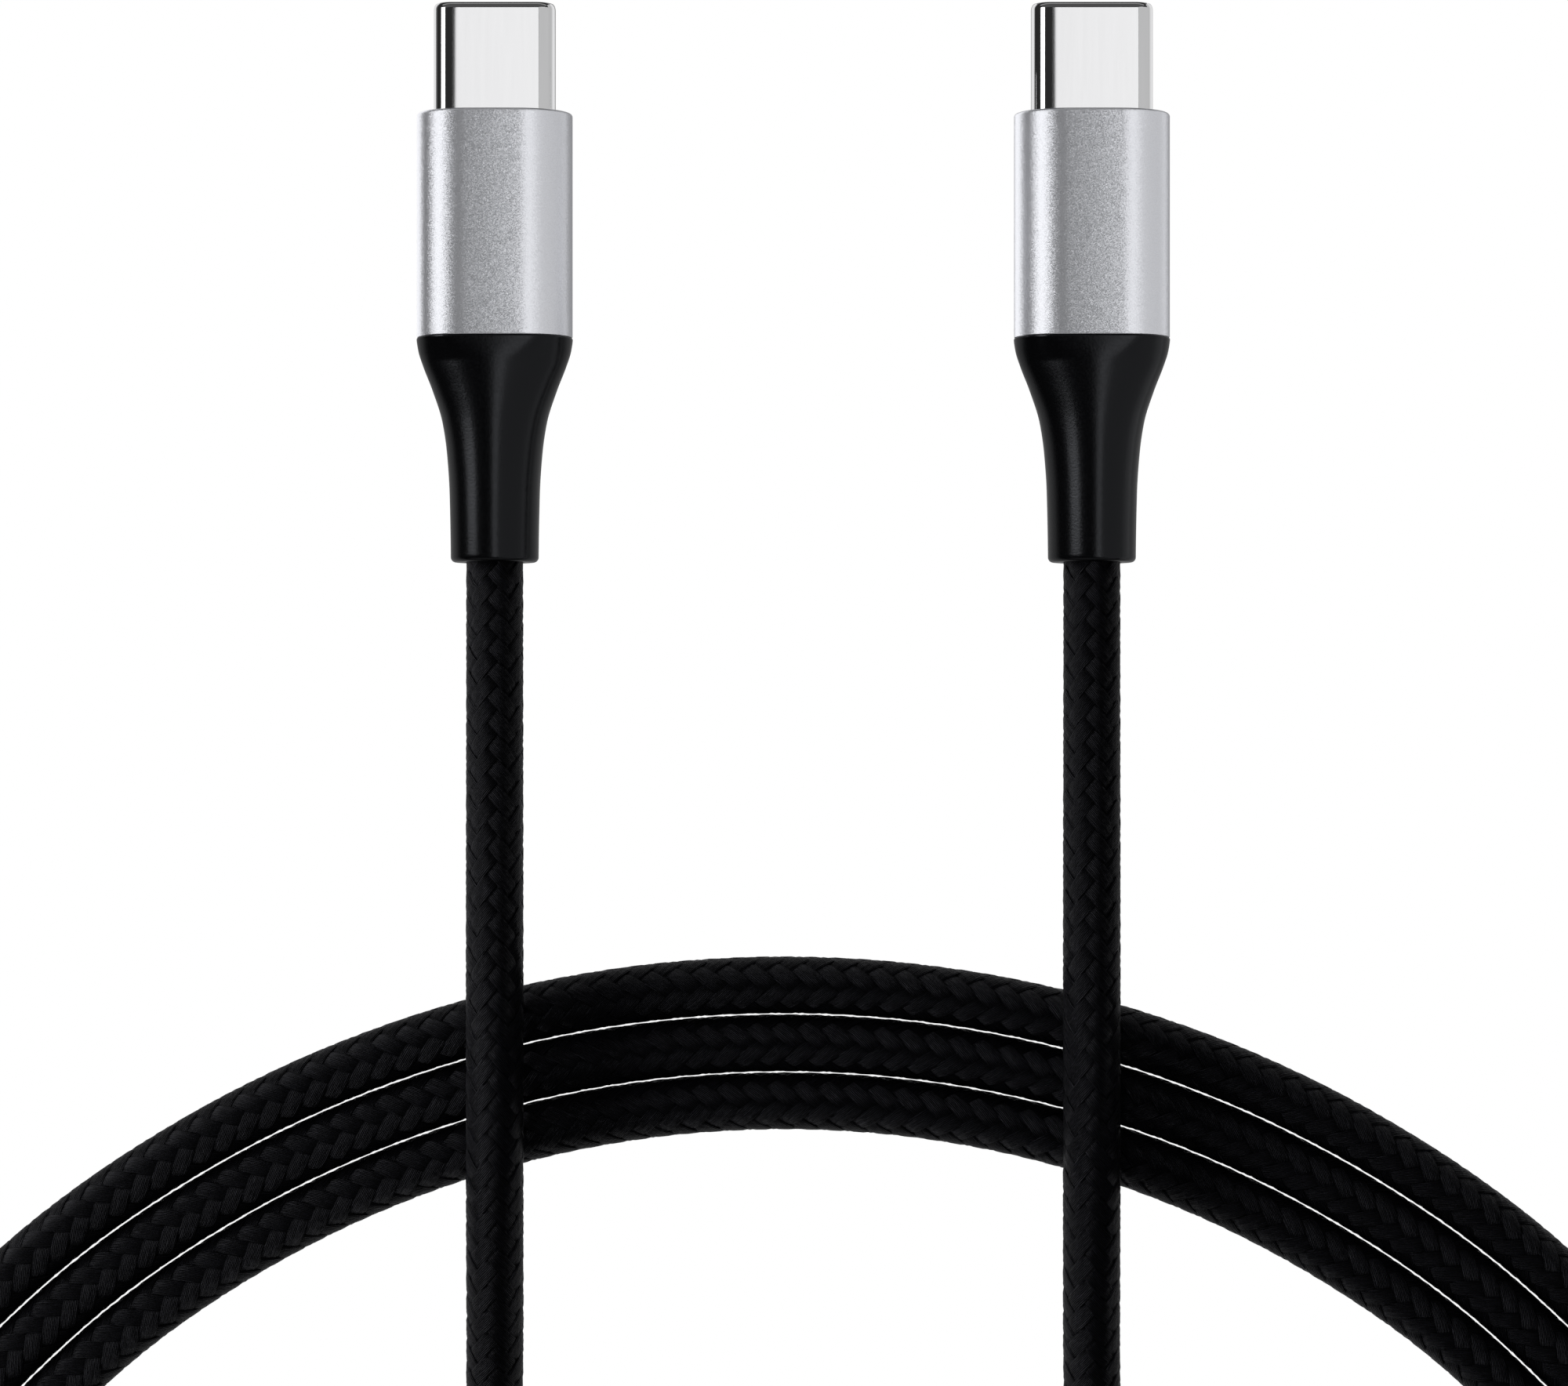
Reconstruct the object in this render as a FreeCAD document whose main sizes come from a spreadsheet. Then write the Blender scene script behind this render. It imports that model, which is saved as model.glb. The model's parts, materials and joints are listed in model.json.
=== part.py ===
"""Braided charging cable with a reversible 24-contact plug on each end.

Frame: millimetres, +Z up.  The cable lies on the plane z = 0.  The origin is on that plane, midway
between the two plugs; +X runs from the left plug to the right plug and +Y towards the plugs' tips.
Each plug piece is drawn along its own Z axis, which starts at the joint between the metal sleeve and
the strain-relief boot and points at the tip, with Y upwards.  Its Placement then lays it down.
"""
import FreeCAD
import Part
import math
import os
import Sketcher
from FreeCAD import Placement, Rotation, Vector

DOC = FreeCAD.newDocument("ChargingCable")
SHEET = DOC.addObject("Spreadsheet::Sheet", "Sizes")

DRIVING_SIZES = [
    # alias, millimetres (or a count), what it is
    ("plug_spacing", 40.4, "between the two plugs' axes"),
    ("joint_row", -3.675, "Y of the joint between sleeve and boot"),
    ("axis_height", 3.0, "height of a plug's axis above the table"),
    ("cord_dia", 3.9, "outer diameter of the braided cord"),
    ("fit_gap", 0.01, "gap between pieces that are moulded or pressed together"),
    # metal shell
    ("shell_width", 8.25, "standard plug shell, outside"),
    ("shell_height", 2.40, "standard plug shell, outside"),
    ("shell_wall", 0.30, "sheet thickness of the shell"),
    ("shell_back", 9.0, "hidden back end of the shell"),
    ("shell_tip", 22.55, "front end of the shell"),
    ("shell_lip", 0.26, "rounding of the shell's mouth"),
    # plastic tongue housing and what sits in it
    ("housing_back", 9.5, "back end of the tongue housing"),
    ("housing_tip", 22.1, "front end of the tongue housing"),
    ("housing_gap", 0.02, "gap between housing and shell"),
    ("slot_width", 6.80, "slot that takes the socket's tongue"),
    ("slot_height", 0.84, "slot that takes the socket's tongue"),
    ("slot_floor", 16.2, "bottom of the slot"),
    ("overrun", 0.2, "how far a cut runs past the face that it opens"),
    ("contact_count", 12, "contacts in each row"),
    ("contact_pitch", 0.5, "between neighbouring contacts"),
    ("contact_width", 0.25, "width of one contact"),
    ("contact_sheet", 0.15, "thickness of one contact"),
    ("contact_inner", 0.40, "contact's inner face above the plug's axis"),
    ("contact_bump", 0.33, "contact's lowest point above the plug's axis"),
    ("contact_tail", 7.6, "back end of the contacts"),
    ("contact_tip", 21.2, "front end of the contacts"),
    ("contact_ramp", 2.2, "start of the ramp to the lowest point, behind the tip"),
    ("contact_low", 0.9, "lowest point, behind the tip"),
    ("channel_width", 0.33, "groove that holds one contact"),
    ("channel_inner", 0.30, "groove's inner edge above the axis"),
    ("channel_outer", 0.61, "groove's outer edge above the axis"),
    ("latch_reach", 3.60, "half the width across the side latches"),
    ("latch_sheet", 0.20, "thickness of the latch plate"),
    ("latch_arm", 0.18, "width of one latch arm"),
    ("latch_hook", 0.32, "depth of the hook, from the arm's outer face"),
    ("latch_hook_peak", 0.7, "peak of the hook, behind the tip"),
    ("latch_hook_foot", 1.5, "foot of the hook, behind the tip"),
    ("latch_side_gap", 0.04, "gap beside the latch plate in the housing"),
    ("latch_face_gap", 0.02, "gap above and below the latch plate in the housing"),
    ("latch_back", 9.8, "back end of the latch plate"),
    ("latch_web", 15.6, "front end of the plate between the arms"),
    ("latch_tip", 20.9, "front end of the latch arms"),
    ("spring_width", 4.6, "ground spring"),
    ("spring_back", 19.1, "ground spring"),
    ("spring_tip", 21.3, "ground spring"),
    ("spring_sheet", 0.09, "thickness of the ground spring"),
    ("spring_floor", 0.78, "recess for the ground spring, above the axis"),
    ("spring_side_gap", 0.1, "gap beside the ground spring in its recess"),
    ("spring_lift", 0.005, "gap under the ground spring"),
    ("slit_start", 0.6, "start of the spring's slits, from its back end"),
    ("slit_width", 0.2, "slit between two spring fingers"),
    # circuit card
    ("card_width", 8.0, "circuit card"),
    ("card_thick", 0.8, "circuit card"),
    ("card_back", 2.4, "circuit card"),
    ("card_front", 8.9, "circuit card"),
    ("card_notch_radius", 0.5, "locating notch in the card's side"),
    ("card_notch_place", 2.4, "locating notch, from the card's back end"),
    ("chip_side", 2.2, "identity chip, square"),
    ("chip_height", 0.55, "identity chip"),
    ("chip_back", 4.4, "identity chip"),
    ("passive_width", 0.5, "small chip part"),
    ("passive_length", 1.0, "small chip part"),
    ("passive_height", 0.45, "small chip part"),
    ("passive_pitch", 0.9, "between the small parts of a row"),
    ("passive_place", 0.5, "small chip parts, in front of the chip's back edge"),
    # shield cans, inner mould
    ("can_width", 9.0, "shield can, outside"),
    ("can_height", 4.5, "shield can, outside"),
    ("can_wall", 0.2, "sheet thickness of the shield can"),
    ("can_back", 1.2, "shield can"),
    ("can_front", 11.0, "shield can"),
    ("mould_front", 14.9, "front face of the inner mould"),
    ("mould_back", -5.5, "back end of the inner mould's nose"),
    ("nose_dia", 5.2, "inner mould's nose"),
    ("wire_hole", 3.6, "hole for the wires in the inner mould"),
    ("wire_hole_back", -0.7, "back end of the wires' hole"),
    ("crimp_room_front", -0.6, "front end of the room for the crimp ring"),
    ("crimp_dia", 4.7, "crimp ring, outside"),
    ("crimp_front", -1.0, "crimp ring"),
    ("crimp_back", -5.0, "crimp ring"),
    # sleeve
    ("sleeve_width", 10.53, "aluminium sleeve, outside"),
    ("sleeve_height", 6.0, "aluminium sleeve, outside"),
    ("sleeve_wall", 0.5, "aluminium sleeve"),
    ("sleeve_front", 15.15, "aluminium sleeve's length"),
    ("sleeve_edge", 0.22, "rounding of the sleeve's front edge"),
    ("sleeve_back_edge", 0.08, "rounding of the sleeve's back edge"),
    # boot: half widths down its length, and its length
    ("boot_length", 15.2, "strain-relief boot"),
    ("boot_height", 5.93, "boot, from top to bottom"),
    ("boot_corner", 2.6, "corner radius of the boot's section"),
    ("boot_half_joint", 5.29, "half width at the joint"),
    ("boot_half_shoulder", 5.03, "half width at 1.4 mm"),
    ("boot_half_upper", 4.24, "half width at 3.5 mm"),
    ("boot_half_waist", 3.55, "half width at 5.6 mm"),
    ("boot_half_lower", 3.20, "half width at 8.2 mm"),
    ("boot_half_tail", 2.975, "half width at the tail"),
    ("boot_bore_gap", 0.10, "gap between boot and cord, all round"),
    # bend of the boot
    ("bend_point", 9.5, "distance of the bending point behind the joint"),
    ("bend_room", 0.7, "half the gap between the two cord ends at the bending point"),
    ("jacket_front", -0.8, "front end of the cord's jacket"),
    # wires
    ("power_wire_dia", 0.9, "supply and return wires"),
    ("power_wire_offset", 1.0, "supply and return wires, from the middle"),
    ("data_wire_dia", 0.6, "data and sense wires"),
    ("data_wire_offset", 0.9, "data and sense wires, from the middle"),
    ("wire_front", 3.6, "front end of the wires, on the card"),
    # coil of the cord
    ("ring_x", -0.63, "centre of the coil's upper arc"),
    ("ring_y", -127.1, "centre of the coil's upper arc"),
    ("ring_radius", 79.57, "outermost turn's centre line, upper arc"),
    ("side_radius", 40.0, "outermost turn's centre line, side arcs"),
    ("turn_pitch", 3.94, "between neighbouring turns"),
    ("turn_count", 3, "turns side by side"),
    ("upper_half_sweep", 44.0, "degrees, half the upper arc"),
    ("lower_half_sweep", 15.0, "degrees, half the lower arc"),
]

# The cord's two free stretches, from each boot to the coil: corners of the route, chosen by hand.
EXIT_X = 20.2
LEFT_ROUTE = [
    (-EXIT_X, -13.875, 3.0), (-EXIT_X, -25.0, 3.0), (-EXIT_X, -43.3, 6.3), (-EXIT_X, -62.0, 6.3),
    (-EXIT_X, -77.0, 1.95), (-20.9, -91.5, 1.95), (-16.0, -108.5, 1.95), (-5.0, -122.5, 1.95),
    (8.0, -130.7, 1.95), (23.0, -133.2, 1.95),
]
RIGHT_ROUTE = [
    (-43.5, -136.6, 1.95), (-28.0, -140.6, 4.2), (-11.0, -141.5, 6.4), (6.5, -131.5, 6.4),
    (19.0, -115.0, 2.3), (21.0, -96.0, 1.95), (EXIT_X, -77.0, 1.95), (EXIT_X, -62.0, 6.3),
    (EXIT_X, -43.3, 6.3), (EXIT_X, -25.0, 3.0), (EXIT_X, -13.875, 3.0),
]
RUN_SHARE = 0.45        # part of the shorter run that an arc takes up at each corner

BOOT_STATIONS = [       # distance behind the joint, name of the half width there
    (0.0, "boot_half_joint"), (1.4, "boot_half_shoulder"), (3.5, "boot_half_upper"),
    (5.6, "boot_half_waist"), (8.2, "boot_half_lower"),
]


def fill_sheet():
    """Write every driving size into the spreadsheet under its alias."""
    for row, (alias, value, meaning) in enumerate(DRIVING_SIZES, start=1):
        SHEET.set(f"A{row}", alias)
        SHEET.set(f"B{row}", str(value))
        SHEET.set(f"C{row}", meaning)
        SHEET.setAlias(f"B{row}", alias)
    DOC.recompute()


def size(expression):
    """Value of an expression written in the sheet's aliases."""
    values = {alias: float(SHEET.get(alias)) for alias, _, _ in DRIVING_SIZES}
    total = 0.0
    for sign, term in split_terms(expression):
        factor, _, name = term.rpartition("*")
        number = values[name] if name in values else float(name)
        total += sign * (float(factor) if factor else 1.0) * number
    return total


def split_terms(expression):
    """Split a sum such as '0.5 * a - b' into signed terms without blanks."""
    flat = expression.replace(" ", "").replace("+-", "-").replace("-", "+-")
    for term in filter(None, flat.split("+")):
        yield (-1.0, term[1:]) if term.startswith("-") else (1.0, term)


def bound(expression):
    """The same expression with each alias pointed at the sheet."""
    words = []
    for sign, term in split_terms(expression):
        factor, _, name = term.rpartition("*")
        known = any(name == alias for alias, _, _ in DRIVING_SIZES)
        word = f"{SHEET.Name}.{name}" if known else name
        words.append(("-" if sign < 0 else "+") + (f"{factor} * " if factor else "") + word)
    return " ".join(words).lstrip("+")


# ---------------------------------------------------------------- sketch and feature helpers

def new_body(side, name):
    """Body of one plug piece, laid down at its plug."""
    body = DOC.addObject("PartDesign::Body", f"{side}_{name}")
    body.Label = f"{side}_{name}"
    lay_down = Rotation(Vector(-1, 0, 0), Vector(0, 0, 1), Vector(0, 1, 0), "ZXY")
    sign = -1 if side == "left" else 1
    body.Placement = Placement(Vector(0, 0, 0), lay_down)
    body.setExpression("Placement.Base.x", f"{sign} * {bound('0.5*plug_spacing')}")
    body.setExpression("Placement.Base.y", bound("joint_row"))
    body.setExpression("Placement.Base.z", bound("axis_height"))
    return body


def sketch_on(body, role, offset, name):
    """Sketch on one of the body's own origin planes, moved out along its normal by offset."""
    plane = next(item for item in body.Origin.OriginFeatures if item.Role == role)
    sketch = body.newObject("Sketcher::SketchObject", name)
    sketch.AttachmentSupport = [(plane, "")]
    sketch.MapMode = "FlatFace"
    sketch.setExpression("AttachmentOffset.Base.z", bound(offset))
    return sketch


def name_and_bind(sketch, constraint, name, expression):
    """Add a dimension, name it and bind it to the sheet."""
    index = sketch.addConstraint(constraint)
    sketch.renameConstraint(index, name)
    sketch.setExpression(f"Constraints.{name}", bound(expression))


def draw_outline(sketch, corners):
    """Closed polygon; each corner is a pair of expressions, measured from the sketch's origin."""
    points = [Vector(size(x), size(y), 0) for x, y in corners]
    count = len(points)
    for index in range(count):
        sketch.addGeometry(Part.LineSegment(points[index], points[(index + 1) % count]), False)
    for index in range(count):
        sketch.addConstraint(Sketcher.Constraint("Coincident", index, 2, (index + 1) % count, 1))
    for index, (x, y) in enumerate(corners):
        across = Sketcher.Constraint("DistanceX", -1, 1, index, 1, points[index].x)
        along = Sketcher.Constraint("DistanceY", -1, 1, index, 1, points[index].y)
        name_and_bind(sketch, across, f"corner{index}across", x)
        name_and_bind(sketch, along, f"corner{index}along", y)


def draw_rectangle(sketch, left, right, bottom, top):
    """Rectangle between four edges given as expressions."""
    draw_outline(sketch, [(left, bottom), (right, bottom), (right, top), (left, top)])


def draw_stadium(sketch, width, height):
    """Rectangle with fully rounded ends, centred on the sketch's origin."""
    radius = size(height) / 2
    reach = size(width) / 2 - radius
    up, right = Vector(0, radius, 0), Vector(reach, 0, 0)
    quarter = math.pi / 2
    sketch.addGeometry(Part.LineSegment(up - right, up + right), False)
    sketch.addGeometry(Part.ArcOfCircle(Part.Circle(right, Vector(0, 0, 1), radius),
                                        -quarter, quarter), False)
    sketch.addGeometry(Part.LineSegment(right - up, -right - up), False)
    sketch.addGeometry(Part.ArcOfCircle(Part.Circle(-right, Vector(0, 0, 1), radius),
                                        quarter, 3 * quarter), False)
    for first, first_end, second, second_end in [(0, 2, 1, 2), (1, 1, 2, 1), (2, 2, 3, 2), (3, 1, 0, 1)]:
        sketch.addConstraint(Sketcher.Constraint("Tangent", first, first_end, second, second_end))
    sketch.addConstraint(Sketcher.Constraint("Horizontal", 0))
    sketch.addConstraint(Sketcher.Constraint("Symmetric", 1, 3, 3, 3, -1, 1))
    name_and_bind(sketch, Sketcher.Constraint("Radius", 1, radius), "round_end", scaled(height, 0.5))
    name_and_bind(sketch, Sketcher.Constraint("DistanceX", 3, 3, 1, 3, 2 * reach), "straight",
                  f"{width} + {scaled(height, -1)}")


def scaled(expression, factor):
    """Each term of an expression times a factor."""
    words = []
    for sign, term in split_terms(expression):
        own, _, name = term.rpartition("*")
        words.append(f"{sign * factor * (float(own) if own else 1.0):.6g}*{name}")
    return " + ".join(words).replace("+ -", "- ")


def draw_circle(sketch, radius, x="0", y="0"):
    """Circle whose centre and radius are expressions."""
    centre = Vector(size(x), size(y), 0)
    index = sketch.addGeometry(Part.Circle(centre, Vector(0, 0, 1), size(radius)), False)
    name_and_bind(sketch, Sketcher.Constraint("Radius", index, size(radius)), f"radius{index}", radius)
    name_and_bind(sketch, Sketcher.Constraint("DistanceX", -1, 1, index, 3, centre.x), f"across{index}", x)
    name_and_bind(sketch, Sketcher.Constraint("DistanceY", -1, 1, index, 3, centre.y), f"along{index}", y)


def draw_rounded_rectangle(sketch, half_width, half_height, corner):
    """Rectangle with rounded corners, centred on the sketch's origin."""
    wide, high, radius = size(half_width), size(half_height), size(corner)
    centres = [Vector(wide - radius, high - radius, 0), Vector(radius - wide, high - radius, 0),
               Vector(radius - wide, radius - high, 0), Vector(wide - radius, radius - high, 0)]
    for index, centre in enumerate(centres):
        start = index * math.pi / 2
        circle = Part.Circle(centre, Vector(0, 0, 1), radius)
        sketch.addGeometry(Part.ArcOfCircle(circle, start, start + math.pi / 2), False)
        after = centres[(index + 1) % 4]
        out = Vector(math.cos(start + math.pi / 2), math.sin(start + math.pi / 2), 0) * radius
        sketch.addGeometry(Part.LineSegment(centre + out, after + out), False)
    for index in range(0, 8, 2):
        sketch.addConstraint(Sketcher.Constraint("Tangent", index, 2, index + 1, 1))
        sketch.addConstraint(Sketcher.Constraint("Tangent", index + 1, 2, (index + 2) % 8, 1))
    sketch.addConstraint(Sketcher.Constraint("Horizontal", 1))
    sketch.addConstraint(Sketcher.Constraint("Vertical", 3))
    sketch.addConstraint(Sketcher.Constraint("Equal", 0, 2))
    sketch.addConstraint(Sketcher.Constraint("Equal", 0, 4))
    sketch.addConstraint(Sketcher.Constraint("Symmetric", 0, 3, 4, 3, -1, 1))
    name_and_bind(sketch, Sketcher.Constraint("Radius", 0, radius), "corner", corner)
    name_and_bind(sketch, Sketcher.Constraint("DistanceX", 2, 3, 0, 3, 2 * (wide - radius)),
                  "flat_across", f"{scaled(half_width, 2)} - {scaled(corner, 2)}")
    name_and_bind(sketch, Sketcher.Constraint("DistanceY", 6, 3, 0, 3, 2 * (high - radius)),
                  "flat_up", f"{scaled(half_height, 2)} - {scaled(corner, 2)}")


def pad(body, sketch, length, name, midplane=False):
    """Add the sketch's prism, forwards from the sketch or to both sides of it."""
    feature = body.newObject("PartDesign::Pad", name)
    feature.Profile = sketch
    feature.Midplane = midplane
    feature.setExpression("Length", bound(length))
    DOC.recompute()
    return feature


def cut(body, sketch, length, name, midplane=False):
    """Take the sketch's prism away, forwards from the sketch, and see that something went."""
    before = body.Shape.Volume
    feature = body.newObject("PartDesign::Pocket", name)
    feature.Profile = sketch
    feature.Reversed = True
    feature.Midplane = midplane
    feature.setExpression("Length", bound(length))
    DOC.recompute()
    if not body.Shape.Volume < before - 1e-4:
        raise RuntimeError(f"{body.Label}: {name} cuts nothing")
    return feature


def repeat_across(body, features, pitch, count, name):
    """Repeat features along the body's X axis."""
    axis = next(item for item in body.Origin.OriginFeatures if item.Role == "X_Axis")
    pattern = body.newObject("PartDesign::LinearPattern", name)
    pattern.Originals = features
    pattern.Direction = (axis, [""])
    pattern.setExpression("Length", f"({bound(pitch)}) * ({bound(count)} - 1)")
    pattern.setExpression("Occurrences", bound(count))
    body.Tip = pattern
    DOC.recompute()
    return pattern


def round_edges(body, base, edge_names, radius, name):
    """Fillet on named edges of the base feature."""
    feature = body.newObject("PartDesign::Fillet", name)
    feature.Base = (base, edge_names)
    feature.setExpression("Radius", bound(radius))
    DOC.recompute()
    return feature


def outline_edges(feature, height, width):
    """Edges of the outer outline at one height of a feature: those that touch its full width."""
    shape = feature.Shape.copy()
    shape.Placement = Placement()
    names = []
    for index, edge in enumerate(shape.Edges, start=1):
        box = edge.BoundBox
        level = abs(box.ZMin - height) < 1e-4 and abs(box.ZMax - height) < 1e-4
        outer = any(abs(abs(vertex.Point.y) - width / 2) < 1e-3 for vertex in edge.Vertexes)
        if level and outer:
            names.append(f"Edge{index}")
    return names


# ---------------------------------------------------------------- the plug's pieces

def make_plug_shell(side):
    """Seamless steel shell that enters the socket."""
    body = new_body(side, "plug_shell")
    outline = sketch_on(body, "XY_Plane", "shell_back", f"{side}_shell_outline")
    draw_stadium(outline, "shell_width", "shell_height")
    tube = pad(body, outline, "shell_tip - shell_back", f"{side}_shell_tube")
    hollow = sketch_on(body, "XY_Plane", "shell_back", f"{side}_shell_hollow_outline")
    draw_stadium(hollow, "shell_width - 2*shell_wall", "shell_height - 2*shell_wall")
    tube = cut(body, hollow, "shell_tip - shell_back", f"{side}_shell_hollow")
    rim = outline_edges(tube, size("shell_tip"), size("shell_height"))
    round_edges(body, tube, rim, "shell_lip", f"{side}_shell_lip")
    return body


def make_tongue_housing(side):
    """Plastic housing inside the shell: slot, contact grooves, latch slots, spring recesses."""
    body = new_body(side, "tongue_housing")
    outline = sketch_on(body, "XY_Plane", "housing_back", f"{side}_housing_outline")
    draw_stadium(outline, "shell_width - 2*shell_wall - 2*housing_gap",
                 "shell_height - 2*shell_wall - 2*housing_gap")
    pad(body, outline, "housing_tip - housing_back", f"{side}_housing_block")

    slot = sketch_on(body, "XY_Plane", "slot_floor", f"{side}_slot_outline")
    draw_rectangle(slot, "-0.5*slot_width", "0.5*slot_width", "-0.5*slot_height", "0.5*slot_height")
    cut(body, slot, "housing_tip - slot_floor", f"{side}_slot")

    plate = sketch_on(body, "XY_Plane", "housing_back", f"{side}_plate_slot_outline")
    draw_rectangle(plate, "-latch_reach - latch_side_gap", "latch_reach + latch_side_gap",
                   "-0.5*latch_sheet - latch_face_gap", "0.5*latch_sheet + latch_face_gap")
    cut(body, plate, "latch_tip - housing_back + overrun", f"{side}_plate_slot")

    first = "-5.5*contact_pitch"
    grooves = []
    for row, sign in (("upper", ""), ("lower", "-")):
        groove = sketch_on(body, "XY_Plane", "housing_back", f"{side}_{row}_groove_outline")
        draw_rectangle(groove, f"{first} - 0.5*channel_width", f"{first} + 0.5*channel_width",
                       f"{sign}channel_inner", f"{sign}channel_outer")
        grooves.append(cut(body, groove, "contact_tip - housing_back + overrun", f"{side}_{row}_groove"))
    pattern = repeat_across(body, grooves, "contact_pitch", "contact_count", f"{side}_grooves")

    for row, sign in (("upper", ""), ("lower", "-")):
        recess = sketch_on(body, "XY_Plane", "spring_back - spring_side_gap", f"{side}_{row}_recess_outline")
        draw_rectangle(recess, "-0.5*spring_width - spring_side_gap",
                       "0.5*spring_width + spring_side_gap",
                       f"{sign}spring_floor", f"{sign}0.5*shell_height")
        pattern = cut(body, recess, "spring_tip - spring_back + 2*spring_side_gap", f"{side}_{row}_recess")
    body.Tip = pattern
    return body


def make_contacts(side, row):
    """Twelve stamped contacts, one row; each has a bent tip that presses on the socket's tongue."""
    sign = "" if row == "upper" else "-"
    body = new_body(side, f"{row}_contacts")
    profile = sketch_on(body, "YZ_Plane", "-5.5*contact_pitch", f"{side}_{row}_contact_outline")
    draw_outline(profile, [
        (f"{sign}contact_inner", "contact_tail"),
        (f"{sign}contact_inner", "contact_tip - contact_ramp"),
        (f"{sign}contact_bump", "contact_tip - contact_low"),
        (f"{sign}contact_inner", "contact_tip"),
        (f"{sign}contact_inner {sign or '+'} contact_sheet", "contact_tip"),
        (f"{sign}contact_bump {sign or '+'} contact_sheet", "contact_tip - contact_low"),
        (f"{sign}contact_inner {sign or '+'} contact_sheet", "contact_tip - contact_ramp"),
        (f"{sign}contact_inner {sign or '+'} contact_sheet", "contact_tail"),
    ])
    contact = pad(body, profile, "contact_width", f"{side}_{row}_contact", midplane=True)
    repeat_across(body, [contact], "contact_pitch", "contact_count", f"{side}_{row}_contact_row")
    return body


def make_side_latches(side):
    """One stamped plate between the contact rows, with a hooked latch arm at each side."""
    body = new_body(side, "side_latches")
    outline = sketch_on(body, "XZ_Plane", "0", f"{side}_latch_outline")
    inner, hook = "latch_reach - latch_arm", "latch_reach - latch_hook"
    right = [("latch_reach", "latch_back"), ("latch_reach", "latch_tip"), (inner, "latch_tip"),
             (hook, "latch_tip - latch_hook_peak"), (inner, "latch_tip - latch_hook_foot"),
             (inner, "latch_web")]
    left = [(scaled(x, -1), z) for x, z in reversed(right)]
    draw_outline(outline, right + left)
    pad(body, outline, "latch_sheet", f"{side}_latch_plate", midplane=True)
    return body


def make_ground_springs(side):
    """Slotted spring plates above and below the housing that touch the shell."""
    body = new_body(side, "ground_springs")
    for row, sign in (("upper", ""), ("lower", "-")):
        plate = sketch_on(body, "XY_Plane", "spring_back", f"{side}_{row}_spring_outline")
        draw_rectangle(plate, "-0.5*spring_width", "0.5*spring_width",
                       f"{sign}spring_floor {sign or '+'} spring_lift",
                       f"{sign}spring_floor {sign or '+'} spring_lift {sign or '+'} spring_sheet")
        pad(body, plate, "spring_tip - spring_back", f"{side}_{row}_spring")
    slit = sketch_on(body, "XY_Plane", "spring_back + slit_start", f"{side}_slit_outline")
    draw_rectangle(slit, "-0.25*spring_width - 0.5*slit_width",
                   "-0.25*spring_width + 0.5*slit_width",
                   "-0.5*shell_height", "0.5*shell_height")
    slit_cut = cut(body, slit, "spring_tip - spring_back", f"{side}_slit")
    repeat_across(body, [slit_cut], "0.25*spring_width", "3", f"{side}_slits")
    return body


def make_circuit_card(side):
    """Small circuit card that joins the wires to the contacts."""
    body = new_body(side, "circuit_card")
    outline = sketch_on(body, "XY_Plane", "card_back", f"{side}_card_outline")
    draw_rectangle(outline, "-0.5*card_width", "0.5*card_width", "-0.5*card_thick", "0.5*card_thick")
    board = pad(body, outline, "card_front - card_back", f"{side}_card_board")
    notch = sketch_on(body, "XZ_Plane", "0", f"{side}_card_notches")
    for place in ("-0.5*card_width", "0.5*card_width"):
        draw_circle(notch, "card_notch_radius", place, "card_back + card_notch_place")
    board = body.newObject("PartDesign::Pocket", f"{side}_card_notch_cut")
    board.Profile = notch
    board.Midplane = True
    board.setExpression("Length", bound("2*card_thick"))
    DOC.recompute()
    return body


def make_identity_chip(side):
    """Chip on the card that tells the charger what the cable can carry."""
    body = new_body(side, "identity_chip")
    outline = sketch_on(body, "XY_Plane", "chip_back", f"{side}_chip_outline")
    draw_rectangle(outline, "-0.5*chip_side", "0.5*chip_side",
                   "0.5*card_thick", "0.5*card_thick + chip_height")
    pad(body, outline, "chip_side", f"{side}_chip_block")
    return body


def make_card_passives(side):
    """Resistors and capacitors on the underside of the card."""
    body = new_body(side, "card_passives")
    outline = sketch_on(body, "XY_Plane", "chip_back + passive_place", f"{side}_passive_outline")
    start = "-2*passive_pitch"
    draw_rectangle(outline, f"{start} - 0.5*passive_width", f"{start} + 0.5*passive_width",
                   "-0.5*card_thick - passive_height", "-0.5*card_thick")
    first = pad(body, outline, "passive_length", f"{side}_passive")
    repeat_across(body, [first], "passive_pitch", "5", f"{side}_passive_row")
    return body


def make_shield_can(side, row):
    """Half of the folded steel can round the card; the halves meet at the plug's middle plane."""
    body = new_body(side, f"{row}_shield_can")
    outline = sketch_on(body, "XY_Plane", "can_back", f"{side}_{row}_can_outline")
    draw_stadium(outline, "can_width", "can_height")
    pad(body, outline, "can_front - can_back", f"{side}_{row}_can_block")
    hollow = sketch_on(body, "XY_Plane", "can_back", f"{side}_{row}_can_hollow_outline")
    draw_stadium(hollow, "can_width - 2*can_wall", "can_height - 2*can_wall")
    cut(body, hollow, "can_front - can_back", f"{side}_{row}_can_hollow")
    half = sketch_on(body, "XY_Plane", "can_back", f"{side}_{row}_can_half_outline")
    away = ("-can_height", "0") if row == "upper" else ("0", "can_height")
    draw_rectangle(half, "-can_width", "can_width", away[0], away[1])
    cut(body, half, "can_front - can_back", f"{side}_{row}_can_half")
    return body


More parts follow.
